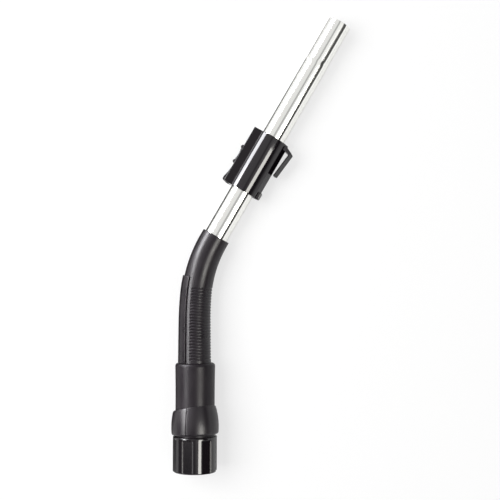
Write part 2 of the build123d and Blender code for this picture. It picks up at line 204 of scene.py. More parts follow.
# %% Helper: hand a piece over
def finished(piece, matrix, body, nodes, crease=40):
    """Moves a finished mesh into the shared frame, shades it and hands it to its CAD body."""
    piece.data.transform(matrix)
    piece.data.shade_smooth()
    piece.data.set_sharp_from_angle(angle=math.radians(crease))
    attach(piece, body)
    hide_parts(*nodes)
    print(piece.name, len(piece.data.polygons), "faces")


# %% [markdown]
# Node trees
#
# Materials and Geometry Nodes are both trees of nodes. One helper adds a node with its options and feeds its
# inputs, either with a value or with the output of another node. A tree for meshes gets named inputs, and
# its result is kept as a plain mesh, because only plain meshes are handed over.

# %% Helper: add a node
def add(tree, kind, inputs=None, **options):
    """Adds one node. Its inputs, by name or number, take values, sockets or a node for its first output."""
    made = tree.nodes.new(kind)
    for option, value in options.items():
        setattr(made, option, value)
    for key, value in (inputs or {}).items():
        if isinstance(value, bpy.types.Node):
            value = value.outputs[0]
        if isinstance(value, bpy.types.NodeSocket):
            tree.links.new(value, made.inputs[key])
        else:
            made.inputs[key].default_value = value
    return made


# %% Helpers: trees that grow meshes
def new_tree(name, sockets):
    """Empty Geometry Nodes tree with a mesh in, a mesh out and named inputs of the given kinds."""
    tree = bpy.data.node_groups.new(name, "GeometryNodeTree")
    tree.interface.new_socket("Mesh", in_out="OUTPUT", socket_type="NodeSocketGeometry")
    tree.interface.new_socket("Mesh", in_out="INPUT", socket_type="NodeSocketGeometry")
    for socket, kind in sockets.items():
        tree.interface.new_socket(socket, in_out="INPUT", socket_type="NodeSocket" + kind)
    return tree, add(tree, "NodeGroupInput").outputs


def close_tree(tree, mesh, material):
    """Ends a tree: real meshes in place of instances, then the material."""
    real = add(tree, "GeometryNodeRealizeInstances", {0: mesh})
    painted = add(tree, "GeometryNodeSetMaterial", {"Geometry": real, "Material": material})
    add(tree, "NodeGroupOutput", {0: painted})
    print("tree:", tree.name, len(tree.nodes), "nodes")
    return tree


def baked(piece, modifier):
    """Keeps what a modifier makes of a piece as its plain mesh, and removes the modifier."""
    bpy.context.view_layer.update()
    graph = bpy.context.evaluated_depsgraph_get()
    mesh = bpy.data.meshes.new_from_object(piece.evaluated_get(graph))
    piece.modifiers.remove(modifier)
    piece.data = mesh


def grown(piece, tree, values):
    """Runs a tree on a piece with the named inputs set, and keeps the result as a plain mesh."""
    modifier = piece.modifiers.new(tree.name, "NODES")
    modifier.node_group = tree
    for item in tree.interface.items_tree:
        if item.in_out == "INPUT" and item.name in values:
            modifier[item.identifier] = values[item.name]
    baked(piece, modifier)


# %% [markdown]
# Colours and finishes
#
# Colours are written as the sRGB hex values that a colour picker would give on the object, and turned to the
# linear values that the shader needs. Every pattern reads Object coordinates, which are metres here, so a
# pattern size in millimetres becomes a texture scale of 1 over that size.

# %% Helper: colour and pattern scale
def linear(hex_colour):
    """Linear RGBA from an sRGB hex value."""
    parts = [int(hex_colour[i : i + 2], 16) / 255 for i in (1, 3, 5)]
    return [p / 12.92 if p <= 0.04045 else ((p + 0.055) / 1.055) ** 2.4 for p in parts] + [1.0]


def per_mm(size):
    """Texture scale for a pattern of that size in millimetres."""
    return 1 / (size * MM)


def new_material(name):
    """Empty material with its node tree, and Object coordinates to draw on."""
    material = bpy.data.materials.new(name)
    material.use_nodes = True
    tree = material.node_tree
    tree.nodes.clear()
    return material, tree, add(tree, "ShaderNodeTexCoord").outputs["Object"]


def patterned(tree, tones, gloss_range):
    """Shader inputs for a blend of two tones and a range of roughness, both drawn by patterns."""
    tone = add(tree, "ShaderNodeMix", tones, data_type="RGBA")
    rough = add(tree, "ShaderNodeMapRange", gloss_range)
    return {"Base Color": tone.outputs["Result"], "Roughness": rough}


def close_material(tree, inputs):
    """Ends a material: a Principled shader with the given inputs, and the output."""
    shader = add(tree, "ShaderNodeBsdfPrincipled", inputs)
    add(tree, "ShaderNodeOutputMaterial", {"Surface": shader})


print("chrome white in linear:", [round(c, 3) for c in linear("#f2f2ee")])

# %% [markdown]
# Chromed steel tube: the finish
#
# The tube is steel, drawn, polished and chromed. It mirrors the white table, the room and the lamps, so
# nearly all of its look comes from low roughness. Polishing leaves hair lines along the tube. They are finer
# than a pixel, so they are drawn 0.6 mm wide, stretched along the wand, and only shift the roughness a bit.

# %% Chrome
CHROME_LINE_WIDTH = 0.6
CHROME_LINE_LENGTH = 60.0
CHROME_ROUGHNESS = (0.08, 0.16)

chrome, tree, place = new_material("polished_chromed_steel")
drawn_out = (1, CHROME_LINE_WIDTH / CHROME_LINE_LENGTH, 1)
stretch = add(tree, "ShaderNodeMapping", {"Vector": place, "Scale": drawn_out})
lines = add(
    tree, "ShaderNodeTexNoise", {"Vector": stretch, "Scale": per_mm(CHROME_LINE_WIDTH), "Detail": 1.0}
)
gloss_range = {"Value": lines, "To Min": CHROME_ROUGHNESS[0], "To Max": CHROME_ROUGHNESS[1]}
rough = add(tree, "ShaderNodeMapRange", gloss_range)
close_material(tree, {"Base Color": linear("#f2f2ee"), "Metallic": 1.0, "Roughness": rough})
print("chrome lines every", CHROME_LINE_WIDTH, "mm")

# %% [markdown]
# The bent axis
#
# Tube and grip share one bent centre line: straight through the neck, a gentle bend, a tight bend, then the
# straight wand. A straight mesh can be laid along such a line with Geometry Nodes: Sample Curve looks up the
# point and the direction at the mesh's own height, and Set Position moves each vertex there. That keeps each
# piece easy to model, and tube, grip and palm cover always agree.

# %% Curve of the bent axis
BEND_FOOT = 195.0
GENTLE_RADIUS = 440.0
GENTLE_TURN = 5.0
TIGHT_RADIUS = 170.0
TIGHT_TURN = 25.3
COLLAR_RUN = 7.0
AXIS_STEP = 1.0


def bent_axis_points():
    """Points of the centre line in the neck frame, every millimetre of its length."""
    runs = [
        (BEND_FOOT, 0.0),
        (GENTLE_RADIUS * math.radians(GENTLE_TURN), 1 / GENTLE_RADIUS),
        (TIGHT_RADIUS * math.radians(TIGHT_TURN), 1 / TIGHT_RADIUS),
        (COLLAR_RUN + WAND_RUN, 0.0),
    ]
    spot, turn = Vector((0, 0, 0)), 0.0
    points = [spot.copy()]
    for length, curvature in runs:
        parts = math.ceil(length / AXIS_STEP)
        for part in range(parts):
            middle = turn + curvature * length / parts / 2
            spot += Vector((math.sin(middle), math.cos(middle), 0)) * (length / parts)
            turn += curvature * length / parts
            points.append(spot.copy())
    return points


axis_points = bent_axis_points()
AXIS_LENGTH = sum((b - a).length for a, b in zip(axis_points, axis_points[1:]))
GRIP_TOP = AXIS_LENGTH - WAND_RUN
axis_curve = bpy.data.curves.new("handle_axis", "CURVE")
axis_curve.dimensions = "3D"
axis_line = axis_curve.splines.new("POLY")
axis_line.points.add(len(axis_points) - 1)
for slot, spot in zip(axis_line.points, axis_points):
    slot.co = (*(spot * MM), 1)
axis_object = linked("handle_axis", axis_curve)
axis_object.hide_render = True
drift = (neck_frame @ (axis_points[-1] * MM)) - wand_end
print("axis", round(AXIS_LENGTH, 1), "mm long, ends", round(drift.length / MM, 3), "mm from the wand's end")

# %% Tree: lay a straight mesh along the bent axis
tree, ports = new_tree("along_bent_axis", {"Axis": "Object", "Finish": "Material"})
line = add(tree, "GeometryNodeObjectInfo", {"Object": ports["Axis"]}, transform_space="ORIGINAL")
here = add(tree, "GeometryNodeInputPosition")
straight = add(tree, "ShaderNodeSeparateXYZ", {0: here})
sample = add(
    tree,
    "GeometryNodeSampleCurve",
    {"Curves": line.outputs["Geometry"], "Length": straight.outputs["Y"]},
    mode="LENGTH",
    use_all_curves=True,
)
ahead = sample.outputs["Tangent"]
inward = add(tree, "ShaderNodeVectorMath", {0: ahead, 1: (0, 0, 1)}, operation="CROSS_PRODUCT")
sideways = add(
    tree,
    "ShaderNodeVectorMath",
    {0: inward, "Scale": straight.outputs["X"]},
    operation="SCALE",
)
upward = add(tree, "ShaderNodeCombineXYZ", {"Z": straight.outputs["Z"]})
moved = add(
    tree, "ShaderNodeVectorMath", {0: sample.outputs["Position"], 1: sideways}, operation="ADD"
)
moved = add(tree, "ShaderNodeVectorMath", {0: moved, 1: upward}, operation="ADD")
bent = add(tree, "GeometryNodeSetPosition", {"Geometry": ports["Mesh"], "Position": moved})
along_axis = close_tree(tree, bent, ports["Finish"])

# %% [markdown]
# The tube
#
# On the real handle one tube runs from inside the neck through the grip to the free end. Its wall is 1 mm
# and its cut end has a small burr-free round. The last stretch is drawn slightly smaller for the next tube.
# It is turned as a straight pipe and then laid on the axis.

# %% Wand tube
TUBE_RADIUS = 16.0
TUBE_WALL = 1.0
TUBE_FOOT = 92.0
TUBE_EDGE = 0.35
TUBE_ROW = 4.0
TUBE_STEPS = 128
WAND_END_LENGTH = 60.0
WAND_END_STEP = 0.3

end_radius = TUBE_RADIUS - WAND_END_STEP
step_at = AXIS_LENGTH - WAND_END_LENGTH
profile = soft_outline(
    [
        (TUBE_RADIUS - TUBE_WALL, TUBE_FOOT, 0),
        (TUBE_RADIUS, TUBE_FOOT, 0),
        (TUBE_RADIUS, step_at - 1, 0),
        (end_radius, step_at, 0),
        (end_radius, AXIS_LENGTH, TUBE_EDGE),
        (TUBE_RADIUS - TUBE_WALL, AXIS_LENGTH, TUBE_EDGE),
    ],
    longest=TUBE_ROW,
)
wand_tube = turned("chromed_wand_tube", profile, TUBE_STEPS)
grown(wand_tube, along_axis, {"Axis": axis_object, "Finish": chrome})
finished(wand_tube, neck_frame, "handle", ["wand_tube"])

# %% [markdown]
# Satin black plastic: the finish
#
# Grip, neck and ball collar are moulded polypropylene with a fine spark-eroded texture, which breaks every
# highlight into a soft grey band. The grain is about 0.2 mm on the real part. That is a sixth of a pixel, so
# it is drawn at 0.9 mm and kept shallow. A second, slow pattern varies tone and gloss, as hands polish it.
# The neck keeps the coarsest texture, and the collar has the most even one.

# %% Satin plastics
SATIN_IOR = 1.49
SATIN_GRAIN = 0.9
SATIN_GRAIN_DEPTH = 0.05
SATIN_GRAIN_STRENGTH = 0.12
SATIN_RUBBED = 25.0


def satin_plastic(name, smoothest, roughest, specular):
    """Textured black plastic whose gloss varies between two roughness values."""
    finish, tree, place = new_material(name)
    grain = add(tree, "ShaderNodeTexNoise", {"Vector": place, "Scale": per_mm(SATIN_GRAIN), "Detail": 2.0})
    rubbed = add(tree, "ShaderNodeTexNoise", {"Vector": place, "Scale": per_mm(SATIN_RUBBED), "Detail": 2.0})
    tones = {"Factor": rubbed, "A": linear("#19141a"), "B": linear("#211b20")}
    gloss_range = {"Value": rubbed, "To Min": smoothest, "To Max": roughest}
    relief = {"Height": grain, "Strength": SATIN_GRAIN_STRENGTH, "Distance": SATIN_GRAIN_DEPTH * MM}
    inputs = {"IOR": SATIN_IOR, "Specular IOR Level": specular, "Normal": add(tree, "ShaderNodeBump", relief)}
    close_material(tree, {**patterned(tree, tones, gloss_range), **inputs})
    return finish


satin = satin_plastic("textured_polypropylene", smoothest=0.2, roughest=0.42, specular=0.33)
coarse_satin = satin_plastic("coarse_textured_polypropylene", smoothest=0.26, roughest=0.5, specular=0.24)
smooth_satin = satin_plastic("smooth_polypropylene", smoothest=0.27, roughest=0.36, specular=0.42)
print("satin grain drawn at", SATIN_GRAIN, "mm")

# %% [markdown]
# Finger ribs
#
# The grip's inner side has level grooves that keep fingers from slipping. They lie square to the neck, also
# where the grip bends away, so they are a rule on height: a tree folds each vertex's height into one rib
# pitch and sinks the skin along its normal where it is close to a groove. A painted attribute says how much
# of the groove each vertex takes, so the grooves fade out at the sides.

# %% Tree: grooves between the ribs
GROOVE_FLOOR = 0.12

sizes = dict.fromkeys(("First", "Pitch", "Width", "Depth"), "Float")
tree, ports = new_tree("finger_ribs", {**sizes, "Count": "Int", "Finish": "Material"})
here = add(tree, "GeometryNodeInputPosition")
spot = add(tree, "ShaderNodeSeparateXYZ", {0: here})
above = add(tree, "ShaderNodeMath", {0: spot.outputs["Y"], 1: ports["First"]}, operation="SUBTRACT")
turns = add(tree, "ShaderNodeMath", {0: above, 1: ports["Pitch"]}, operation="DIVIDE")
nearest = add(tree, "ShaderNodeMath", {0: turns}, operation="ROUND")
last = add(tree, "ShaderNodeMath", {0: ports["Count"], 1: 1.0}, operation="SUBTRACT")
groove = add(tree, "ShaderNodeClamp", {"Value": nearest, "Min": 0.0, "Max": last})
off = add(tree, "ShaderNodeMath", {0: turns, 1: groove}, operation="SUBTRACT")
off = add(tree, "ShaderNodeMath", {0: off}, operation="ABSOLUTE")
distance = add(tree, "ShaderNodeMath", {0: off, 1: ports["Pitch"]}, operation="MULTIPLY")
half = add(tree, "ShaderNodeMath", {0: ports["Width"], 1: 0.5}, operation="MULTIPLY")
core = add(tree, "ShaderNodeMath", {0: ports["Width"], 1: GROOVE_FLOOR}, operation="MULTIPLY")
sunk = add(
    tree,
    "ShaderNodeMapRange",
    {
        "Value": distance,
        "From Min": core,
        "From Max": half,
        "To Min": ports["Depth"],
        "To Max": 0.0,
    },
    interpolation_type="SMOOTHSTEP",
)
share = add(tree, "GeometryNodeInputNamedAttribute", {"Name": "rib_share"}, data_type="FLOAT")
depth = add(tree, "ShaderNodeMath", {0: sunk, 1: share.outputs["Attribute"]}, operation="MULTIPLY")
inwards = add(tree, "ShaderNodeMath", {0: depth, 1: -1.0}, operation="MULTIPLY")
outwards = add(tree, "GeometryNodeInputNormal")
push = add(tree, "ShaderNodeVectorMath", {0: outwards, "Scale": inwards}, operation="SCALE")
ribbed = add(tree, "GeometryNodeSetPosition", {"Geometry": ports["Mesh"], "Offset": push})
finger_ribs = close_tree(tree, ribbed, ports["Finish"])

# %% [markdown]
# The grip
#
# The grip is one moulding pushed over the bent tube, slimmer at its top end. It is turned as a straight
# tapered sleeve with fine rows, so that each groove spans several of them, laid along the axis and ribbed.

# %% Handle grip
NECK_TOP = 142.0
GRIP_SEAT = 15.0
GRIP_FOOT_RADIUS = 20.9
GRIP_TOP_RADIUS = 19.2
GRIP_TOP_EDGE = 0.9
GRIP_MOUTH_EDGE = 0.3
GRIP_ROW = 0.42
GRIP_STEPS = 144
BORE_ROWS_KEPT = 10
FIT = 0.05
HAIR = 0.01
RIB_PITCH = 3.85
RIB_COUNT = 25
RIB_FIRST = NECK_TOP + 5.5
GROOVE_WIDTH = 2.3
GROOVE_DEPTH = 0.8
RIB_SWEEP = 207.0
RIB_FADE = 5.0

bore = TUBE_RADIUS + FIT
outer = soft_outline(
    [
        (bore, NECK_TOP - GRIP_SEAT, 0),
        (GRIP_FOOT_RADIUS, NECK_TOP - GRIP_SEAT, 0),
        (GRIP_FOOT_RADIUS, NECK_TOP, 0),
        (GRIP_TOP_RADIUS, GRIP_TOP, GRIP_TOP_EDGE),
        (bore, GRIP_TOP, GRIP_MOUTH_EDGE),
    ],
    longest=GRIP_ROW,
)
keep = [
    index
    for index, (radius, height) in enumerate(outer)
    if radius > bore + HAIR or index % BORE_ROWS_KEPT == 0 or height in (NECK_TOP - GRIP_SEAT, GRIP_TOP)
]
grip = turned("ribbed_handle_grip", outer[keep], GRIP_STEPS)
points = np.array([vertex.co for vertex in grip.data.vertices]) / MM
turn = np.degrees(np.arctan2(points[:, 2], points[:, 0]))
fade = np.clip((RIB_SWEEP / 2 - np.abs(turn)) / RIB_FADE, 0, 1)
outside = np.hypot(points[:, 0], points[:, 2]) > bore + 1
rib_share = grip.data.attributes.new("rib_share", "FLOAT", "POINT")
rib_share.data.foreach_set("value", (fade * fade * (3 - 2 * fade) * outside).astype(np.float32))
grown(grip, along_axis, {"Axis": axis_object, "Finish": satin})
grip.data.shade_smooth()
grown(
    grip,
    finger_ribs,
    {
        "First": RIB_FIRST * MM,
        "Pitch": RIB_PITCH * MM,
        "Count": RIB_COUNT,
        "Width": GROOVE_WIDTH * MM,
        "Depth": GROOVE_DEPTH * MM,
        "Finish": satin,
    },
)
finished(grip, neck_frame, "handle", ["handle_grip"], crease=60)

# %% [markdown]
# The palm cover
#
# A half shell is clipped on the outer side of the grip. It starts with a step in the bend and runs down into
# the neck. Its section is a bowed strip with soft edges, drawn across the grip, run along it and bent.

# %% Palm cover
COVER_THICKNESS = 2.0
COVER_SWEEP = 124.0
COVER_TOP_TURN = 7.0
COVER_EDGE = 0.7
COVER_FOOT = NECK_TOP + 0.2
COVER_FIT = 0.02
COVER_STEPS = 61
COVER_ROWS = 40

gentle_run = GENTLE_RADIUS * math.radians(GENTLE_TURN)
cover_top = BEND_FOOT + gentle_run + TIGHT_RADIUS * math.radians(COVER_TOP_TURN)
arc = np.radians(np.linspace(180 - COVER_SWEEP / 2, 180 + COVER_SWEEP / 2, COVER_STEPS))
corners = []
for radius, turns in ((GRIP_FOOT_RADIUS + COVER_THICKNESS, arc), (GRIP_FOOT_RADIUS + COVER_FIT, arc[::-1])):
    corners += [(math.cos(turn) * radius, math.sin(turn) * radius, 0.0) for turn in turns]
for index in (0, COVER_STEPS - 1):
    corners[index] = (*corners[index][:2], COVER_EDGE)
section = soft_outline(corners)
cover = soft_prism("palm_cover_shell", section, COVER_FOOT, cover_top, COVER_EDGE, (0, 2, 1), rows=COVER_ROWS)
for vertex in cover.data.vertices:
    share = (vertex.co.y / MM - NECK_TOP) / (GRIP_TOP - NECK_TOP)
    narrowed = GRIP_FOOT_RADIUS + (GRIP_TOP_RADIUS - GRIP_FOOT_RADIUS) * share
    scale = 1 + (narrowed - GRIP_FOOT_RADIUS) / math.hypot(vertex.co.x / MM, vertex.co.z / MM)
    vertex.co.x *= scale
    vertex.co.z *= scale
grown(cover, along_axis, {"Axis": axis_object, "Finish": satin})
finished(cover, neck_frame, "handle", ["palm_cover"])

# %% [markdown]
# The neck
#
# The neck takes the grip's foot and the tube. It is a plain turned moulding: a slightly waisted shell with a
# round shoulder at the top, where the grip goes in, and a stepped inside.

# %% Neck sleeve
NECK_RADIUS = 26.4
NECK_WAIST_RADIUS = 25.9
NECK_FOOT = 62.0
NECK_STEP = 74.0
NECK_SHOULDER = 4.0
NECK_SEAT_RADIUS = 24.5
NECK_SHELL_RADIUS = 21.9
SOCKET_RADIUS = TUBE_RADIUS + FIT
SOCKET_WALL = 2.5
NECK_WEB = 5.0
NECK_MOUTH_EDGE = 0.4
NECK_WIDENS_FROM = 0.33
NECK_ROWS = 16
NECK_STEPS = 160

waist = []
for share in np.linspace(0, 1, NECK_ROWS):
    wider = max(0.0, (share - NECK_WIDENS_FROM) / (1 - NECK_WIDENS_FROM)) ** 2
    height = NECK_STEP + (NECK_TOP - NECK_SHOULDER - 1 - NECK_STEP) * share
    waist.append((NECK_WAIST_RADIUS + (NECK_RADIUS - NECK_WAIST_RADIUS) * wider, height, 0))
profile = soft_outline(
    waist
    + [
        (NECK_RADIUS, NECK_TOP, NECK_SHOULDER),
        (GRIP_FOOT_RADIUS + FIT, NECK_TOP, NECK_MOUTH_EDGE),
        (GRIP_FOOT_RADIUS + FIT, NECK_TOP - GRIP_SEAT, 0),
        (SOCKET_RADIUS, NECK_TOP - GRIP_SEAT, 0),
        (SOCKET_RADIUS, TUBE_FOOT, 0),
        (TUBE_RADIUS - TUBE_WALL, TUBE_FOOT, 0),
        (TUBE_RADIUS - TUBE_WALL, TUBE_FOOT - SOCKET_WALL, 0),
        (SOCKET_RADIUS + SOCKET_WALL, TUBE_FOOT - SOCKET_WALL, 0),
        (SOCKET_RADIUS + SOCKET_WALL, NECK_TOP - GRIP_SEAT - NECK_WEB, 0),
        (NECK_SHELL_RADIUS, NECK_TOP - GRIP_SEAT - NECK_WEB, 0),
        (NECK_SHELL_RADIUS, NECK_FOOT, 0),
        (NECK_SEAT_RADIUS, NECK_FOOT, 0),
        (NECK_SEAT_RADIUS, NECK_STEP, 0),
    ]
)
neck = turned("neck_sleeve_moulding", profile, NECK_STEPS)
neck.data.materials.append(coarse_satin)
finished(neck, neck_frame, "handle", ["neck_sleeve"])

# %% [markdown]
# The ball collar
#
# The collar is a barrel-shaped ring round the neck's foot. Both its edges slant: the upper one climbs to the
# right and towards the viewer, the lower one only a little. Cutting a turned barrel with two slanted planes
# would leave slivers, so each turn of the ring gets a profile of its own: the planes say how high its two
# edges lie there, the barrel says how far out. The mould's parting line is one turn that lies a bit deeper.

# %% Swivel collar: sizes
COLLAR_RADIUS = 31.4
COLLAR_BARREL_RADIUS = 90.55
COLLAR_MIDDLE = 58.0
COLLAR_MOUTH = {"height": 48.3, "slant": 2.0, "nod": -2.0}
COLLAR_RIM = {"height": 82.3, "slant": 8.0, "nod": -9.0}
COLLAR_MOUTH_ROUND = 2.5
COLLAR_MOUTH_EDGE = 0.3
COLLAR_RIM_ROUND = 1.05
COLLAR_RIM_CLEAR = 3.2
COLLAR_STEPS = 360
COLLAR_ROWS = 30
EDGE_TRIES = 6
SEAM_TURN = 104.0
SEAM_DEPTH = 0.3
JOURNAL_ROOM = 25.3
SPIGOT_ROOM = 20.6
LIP_FOOT = 57.0
LIP_TOP = 62.0


# %% Swivel collar: edges and barrel
def edge_height(edge, radius, turn):
    """Height of one of the collar's slanted edge planes, at a radius and a turn about the neck axis."""
    slant, nod = math.radians(edge["slant"]), math.radians(edge["nod"])
    x, z = radius * math.cos(turn), radius * math.sin(turn)
    return edge["height"] + math.tan(slant) / math.cos(nod) * x - math.tan(nod) * z


def barrel_radius(height):
    """Radius of the collar's outside at a height."""
    bow = math.sqrt(COLLAR_BARREL_RADIUS**2 - (height - COLLAR_MIDDLE) ** 2)
    return COLLAR_RADIUS - COLLAR_BARREL_RADIUS + bow


print("barrel at the mouth", round(barrel_radius(COLLAR_MOUTH["height"]), 1), "mm in radius")

# %% Swivel collar: profile and ring
def collar_profile(turn):
    """Closed profile of the collar at one turn about the neck axis."""
    foot_radius, rim_radius = COLLAR_RADIUS, COLLAR_RADIUS
    for _ in range(EDGE_TRIES):
        foot = edge_height(COLLAR_MOUTH, foot_radius, turn)
        rim = edge_height(COLLAR_RIM, rim_radius, turn)
        foot_radius, rim_radius = barrel_radius(foot), barrel_radius(rim)
    bore = NECK_WAIST_RADIUS + FIT
    rows = np.linspace(foot + COLLAR_MOUTH_ROUND + 1, rim - COLLAR_RIM_CLEAR, COLLAR_ROWS)
    return soft_outline(
        [
            (JOURNAL_ROOM, edge_height(COLLAR_MOUTH, JOURNAL_ROOM, turn), COLLAR_MOUTH_EDGE),
            (foot_radius, foot, COLLAR_MOUTH_ROUND),
            *((barrel_radius(height), height, 0) for height in rows),
            (rim_radius, rim, COLLAR_RIM_ROUND * (rim_radius - bore)),
            (bore, edge_height(COLLAR_RIM, bore, turn), 0),
            (bore, NECK_STEP, 0),
            (NECK_SEAT_RADIUS + FIT, NECK_STEP, 0),
            (NECK_SEAT_RADIUS + FIT, LIP_TOP, 0),
            (SPIGOT_ROOM, LIP_TOP, 0),
            (SPIGOT_ROOM, LIP_FOOT, 0),
            (JOURNAL_ROOM, LIP_FOOT, 0),
        ]
    )


turns = np.linspace(0, 2 * math.pi, COLLAR_STEPS, endpoint=False)
profiles = np.array([collar_profile(turn) for turn in turns])
seam = int(round(SEAM_TURN / 360 * COLLAR_STEPS))
profiles[seam, :, 0] -= SEAM_DEPTH * (profiles[seam, :, 0] > NECK_WAIST_RADIUS + 0.5)
radii, heights = profiles[..., 0].T, profiles[..., 1].T
rings = np.stack((radii * np.cos(turns), heights, radii * np.sin(turns)), -1)
collar = new_piece("ball_swivel_collar", rings.reshape(-1, 3), ring_faces(len(rings), COLLAR_STEPS, True))
collar.data.materials.append(smooth_satin)
finished(collar, neck_frame, "handle", ["swivel_collar"])

# %% [markdown]
# Glossy black plastic: the finish
#
# Regulator, slide and cuff are ABS from a polished mould. The base is nearly black, and all that shows is the
# sharp reflection of the lamps on it. Real mouldings ripple slightly, like orange peel, on a scale of some
# millimetres, which keeps long highlights from looking ruled. The flats of the thumb block are duller than
# the rest, so the same recipe is used once more with a weaker reflection.

# %% Glossy plastics
GLOSS_IOR = 1.54
GLOSS_RIPPLE = 7.0
GLOSS_RIPPLE_DEPTH = 0.1
GLOSS_RIPPLE_STRENGTH = 0.1
GLOSS_HAZE = 1.4
GLOSS_ROUGHNESS = (0.06, 0.11)


def glossy_plastic(name, specular):
    """Black plastic from a polished mould, with a faint ripple."""
    finish, tree, place = new_material(name)
    ripple = add(tree, "ShaderNodeTexNoise", {"Vector": place, "Scale": per_mm(GLOSS_RIPPLE), "Detail": 1.0})
    haze = add(tree, "ShaderNodeTexNoise", {"Vector": place, "Scale": per_mm(GLOSS_HAZE), "Detail": 2.0})
    tones = {"Factor": ripple, "A": linear("#0f0b0f"), "B": linear("#161116")}
    gloss_range = {"Value": haze, "To Min": GLOSS_ROUGHNESS[0], "To Max": GLOSS_ROUGHNESS[1]}
    relief = {"Height": ripple, "Strength": GLOSS_RIPPLE_STRENGTH, "Distance": GLOSS_RIPPLE_DEPTH * MM}
    inputs = {"IOR": GLOSS_IOR, "Specular IOR Level": specular, "Normal": add(tree, "ShaderNodeBump", relief)}
    close_material(tree, {**patterned(tree, tones, gloss_range), **inputs})
    return finish


gloss = glossy_plastic("polished_moulded_abs", specular=0.5)
dull_gloss = glossy_plastic("dulled_moulded_abs", specular=0.22)
print("gloss ripple every", GLOSS_RIPPLE, "mm")

# %% [markdown]
# Flutes of the cuff
#
# Seven flat panels are sunk into the cuff so that a hand can turn it off the hose. They repeat round it, so
# a tree folds the angle into one panel's share, measures how far each vertex lies inside a panel with round
# corners, and draws it back to the panel's flat floor.

# %% Tree: flat panels round the cuff
sizes = dict.fromkeys(("Turn", "Half width", "Top", "Corner", "Floor", "Skin", "Edge"), "Float")
tree, ports = new_tree("cuff_panels", {**sizes, "Count": "Int", "Finish": "Material"})
here = add(tree, "GeometryNodeInputPosition")
spot = add(tree, "ShaderNodeSeparateXYZ", {0: here})
level = add(tree, "ShaderNodeCombineXYZ", {"X": spot.outputs["X"], "Z": spot.outputs["Z"]})
radius = add(tree, "ShaderNodeVectorMath", {0: level}, operation="LENGTH").outputs["Value"]
angle = add(tree, "ShaderNodeMath", {0: spot.outputs["Z"], 1: spot.outputs["X"]}, operation="ARCTAN2")
angle = add(tree, "ShaderNodeMath", {0: angle, 1: ports["Turn"]}, operation="SUBTRACT")
pitch = add(tree, "ShaderNodeMath", {0: 2 * math.pi, 1: ports["Count"]}, operation="DIVIDE")
half = add(tree, "ShaderNodeMath", {0: pitch, 1: 0.5}, operation="MULTIPLY")
minus = add(tree, "ShaderNodeMath", {0: pitch, 1: -0.5}, operation="MULTIPLY")
fold = add(tree, "ShaderNodeMath", {0: angle, 1: half, 2: minus}, operation="WRAP")
sine = add(tree, "ShaderNodeMath", {0: fold}, operation="SINE")
cosine = add(tree, "ShaderNodeMath", {0: fold}, operation="COSINE")
side = add(tree, "ShaderNodeMath", {0: sine, 1: radius}, operation="MULTIPLY")
side = add(tree, "ShaderNodeMath", {0: side}, operation="ABSOLUTE")
beyond = {}
for axis, reach, limit in (("X", side, "Half width"), ("Y", spot.outputs["Y"], "Top")):
    out = add(tree, "ShaderNodeMath", {0: reach, 1: ports[limit]}, operation="SUBTRACT")
    out = add(tree, "ShaderNodeMath", {0: out, 1: ports["Corner"]}, operation="ADD")
    beyond[axis] = add(tree, "ShaderNodeMath", {0: out, 1: 0.0}, operation="MAXIMUM")
gap = add(tree, "ShaderNodeVectorMath", {0: add(tree, "ShaderNodeCombineXYZ", beyond)}, operation="LENGTH")
gap = add(tree, "ShaderNodeMath", {0: gap.outputs["Value"], 1: ports["Corner"]}, operation="SUBTRACT")
rim = add(tree, "ShaderNodeMath", {0: ports["Edge"], 1: -1.0}, operation="MULTIPLY")
inside = add(
    tree,
    "ShaderNodeMapRange",
    {"Value": gap, "From Min": rim, "From Max": 0.0, "To Min": 1.0, "To Max": 0.0},
    interpolation_type="SMOOTHSTEP",
)
floor = add(tree, "ShaderNodeMath", {0: ports["Floor"], 1: cosine}, operation="DIVIDE")
sunk = add(tree, "ShaderNodeMath", {0: floor, 1: radius}, operation="MINIMUM")
drawn = add(tree, "ShaderNodeMix", {"Factor": inside, "A": radius, "B": sunk}, data_type="FLOAT")
scale = add(tree, "ShaderNodeMath", {0: drawn.outputs["Result"], 1: radius}, operation="DIVIDE")
shrunk = add(tree, "ShaderNodeVectorMath", {0: level, "Scale": scale}, operation="SCALE")
height = add(tree, "ShaderNodeCombineXYZ", {"Y": spot.outputs["Y"]})
place_on = add(tree, "ShaderNodeVectorMath", {0: shrunk, 1: height}, operation="ADD")
outer_skin = add(tree, "ShaderNodeMath", {0: radius, 1: ports["Skin"]}, operation="GREATER_THAN")
fluted = add(
    tree,
    "GeometryNodeSetPosition",
    {"Geometry": ports["Mesh"], "Selection": outer_skin, "Position": place_on},
)
cuff_panels = close_tree(tree, fluted, ports["Finish"])

# %% Hose cuff: sizes
CUFF_RADIUS = 29.15
CUFF_LENGTH = 46.4
CUFF_EDGE = 1.5
CUFF_ROW = 0.5
HOSE_RADIUS = 23.0
HOSE_DEPTH = 36.0
AIRWAY_RADIUS = 17.5
JOURNAL_RADIUS = 25.0
JOURNAL_TOP = 56.7
SPIGOT_RADIUS = 20.3
BEAD_FOOT = 62.3
BEAD_TOP = 65.0
BEAD_RADIUS = 21.6
SPIGOT_TOP = 69.0
SEAL_ROOM = (22.0, 24.0)
SEAL_DEPTH = 2.5
FLUTE_COUNT = 7
FLUTE_WIDTH = 15.0
FLUTE_FLOOR = 27.42
FLUTE_TOP = CUFF_LENGTH - 2.4
FLUTE_CORNER = 2.5
FLUTE_EDGE = 0.8
FLUTE_TURN = 90 + 11.2
CUFF_MOUTH_EDGE = 0.8
CUFF_MOUTH_DEPTH = 1.2
CUFF_STEPS = 448
JOURNAL_START = CUFF_LENGTH + 0.2
print("land between two panels", round(2 * math.pi * CUFF_RADIUS / FLUTE_COUNT - FLUTE_WIDTH, 1), "mm")

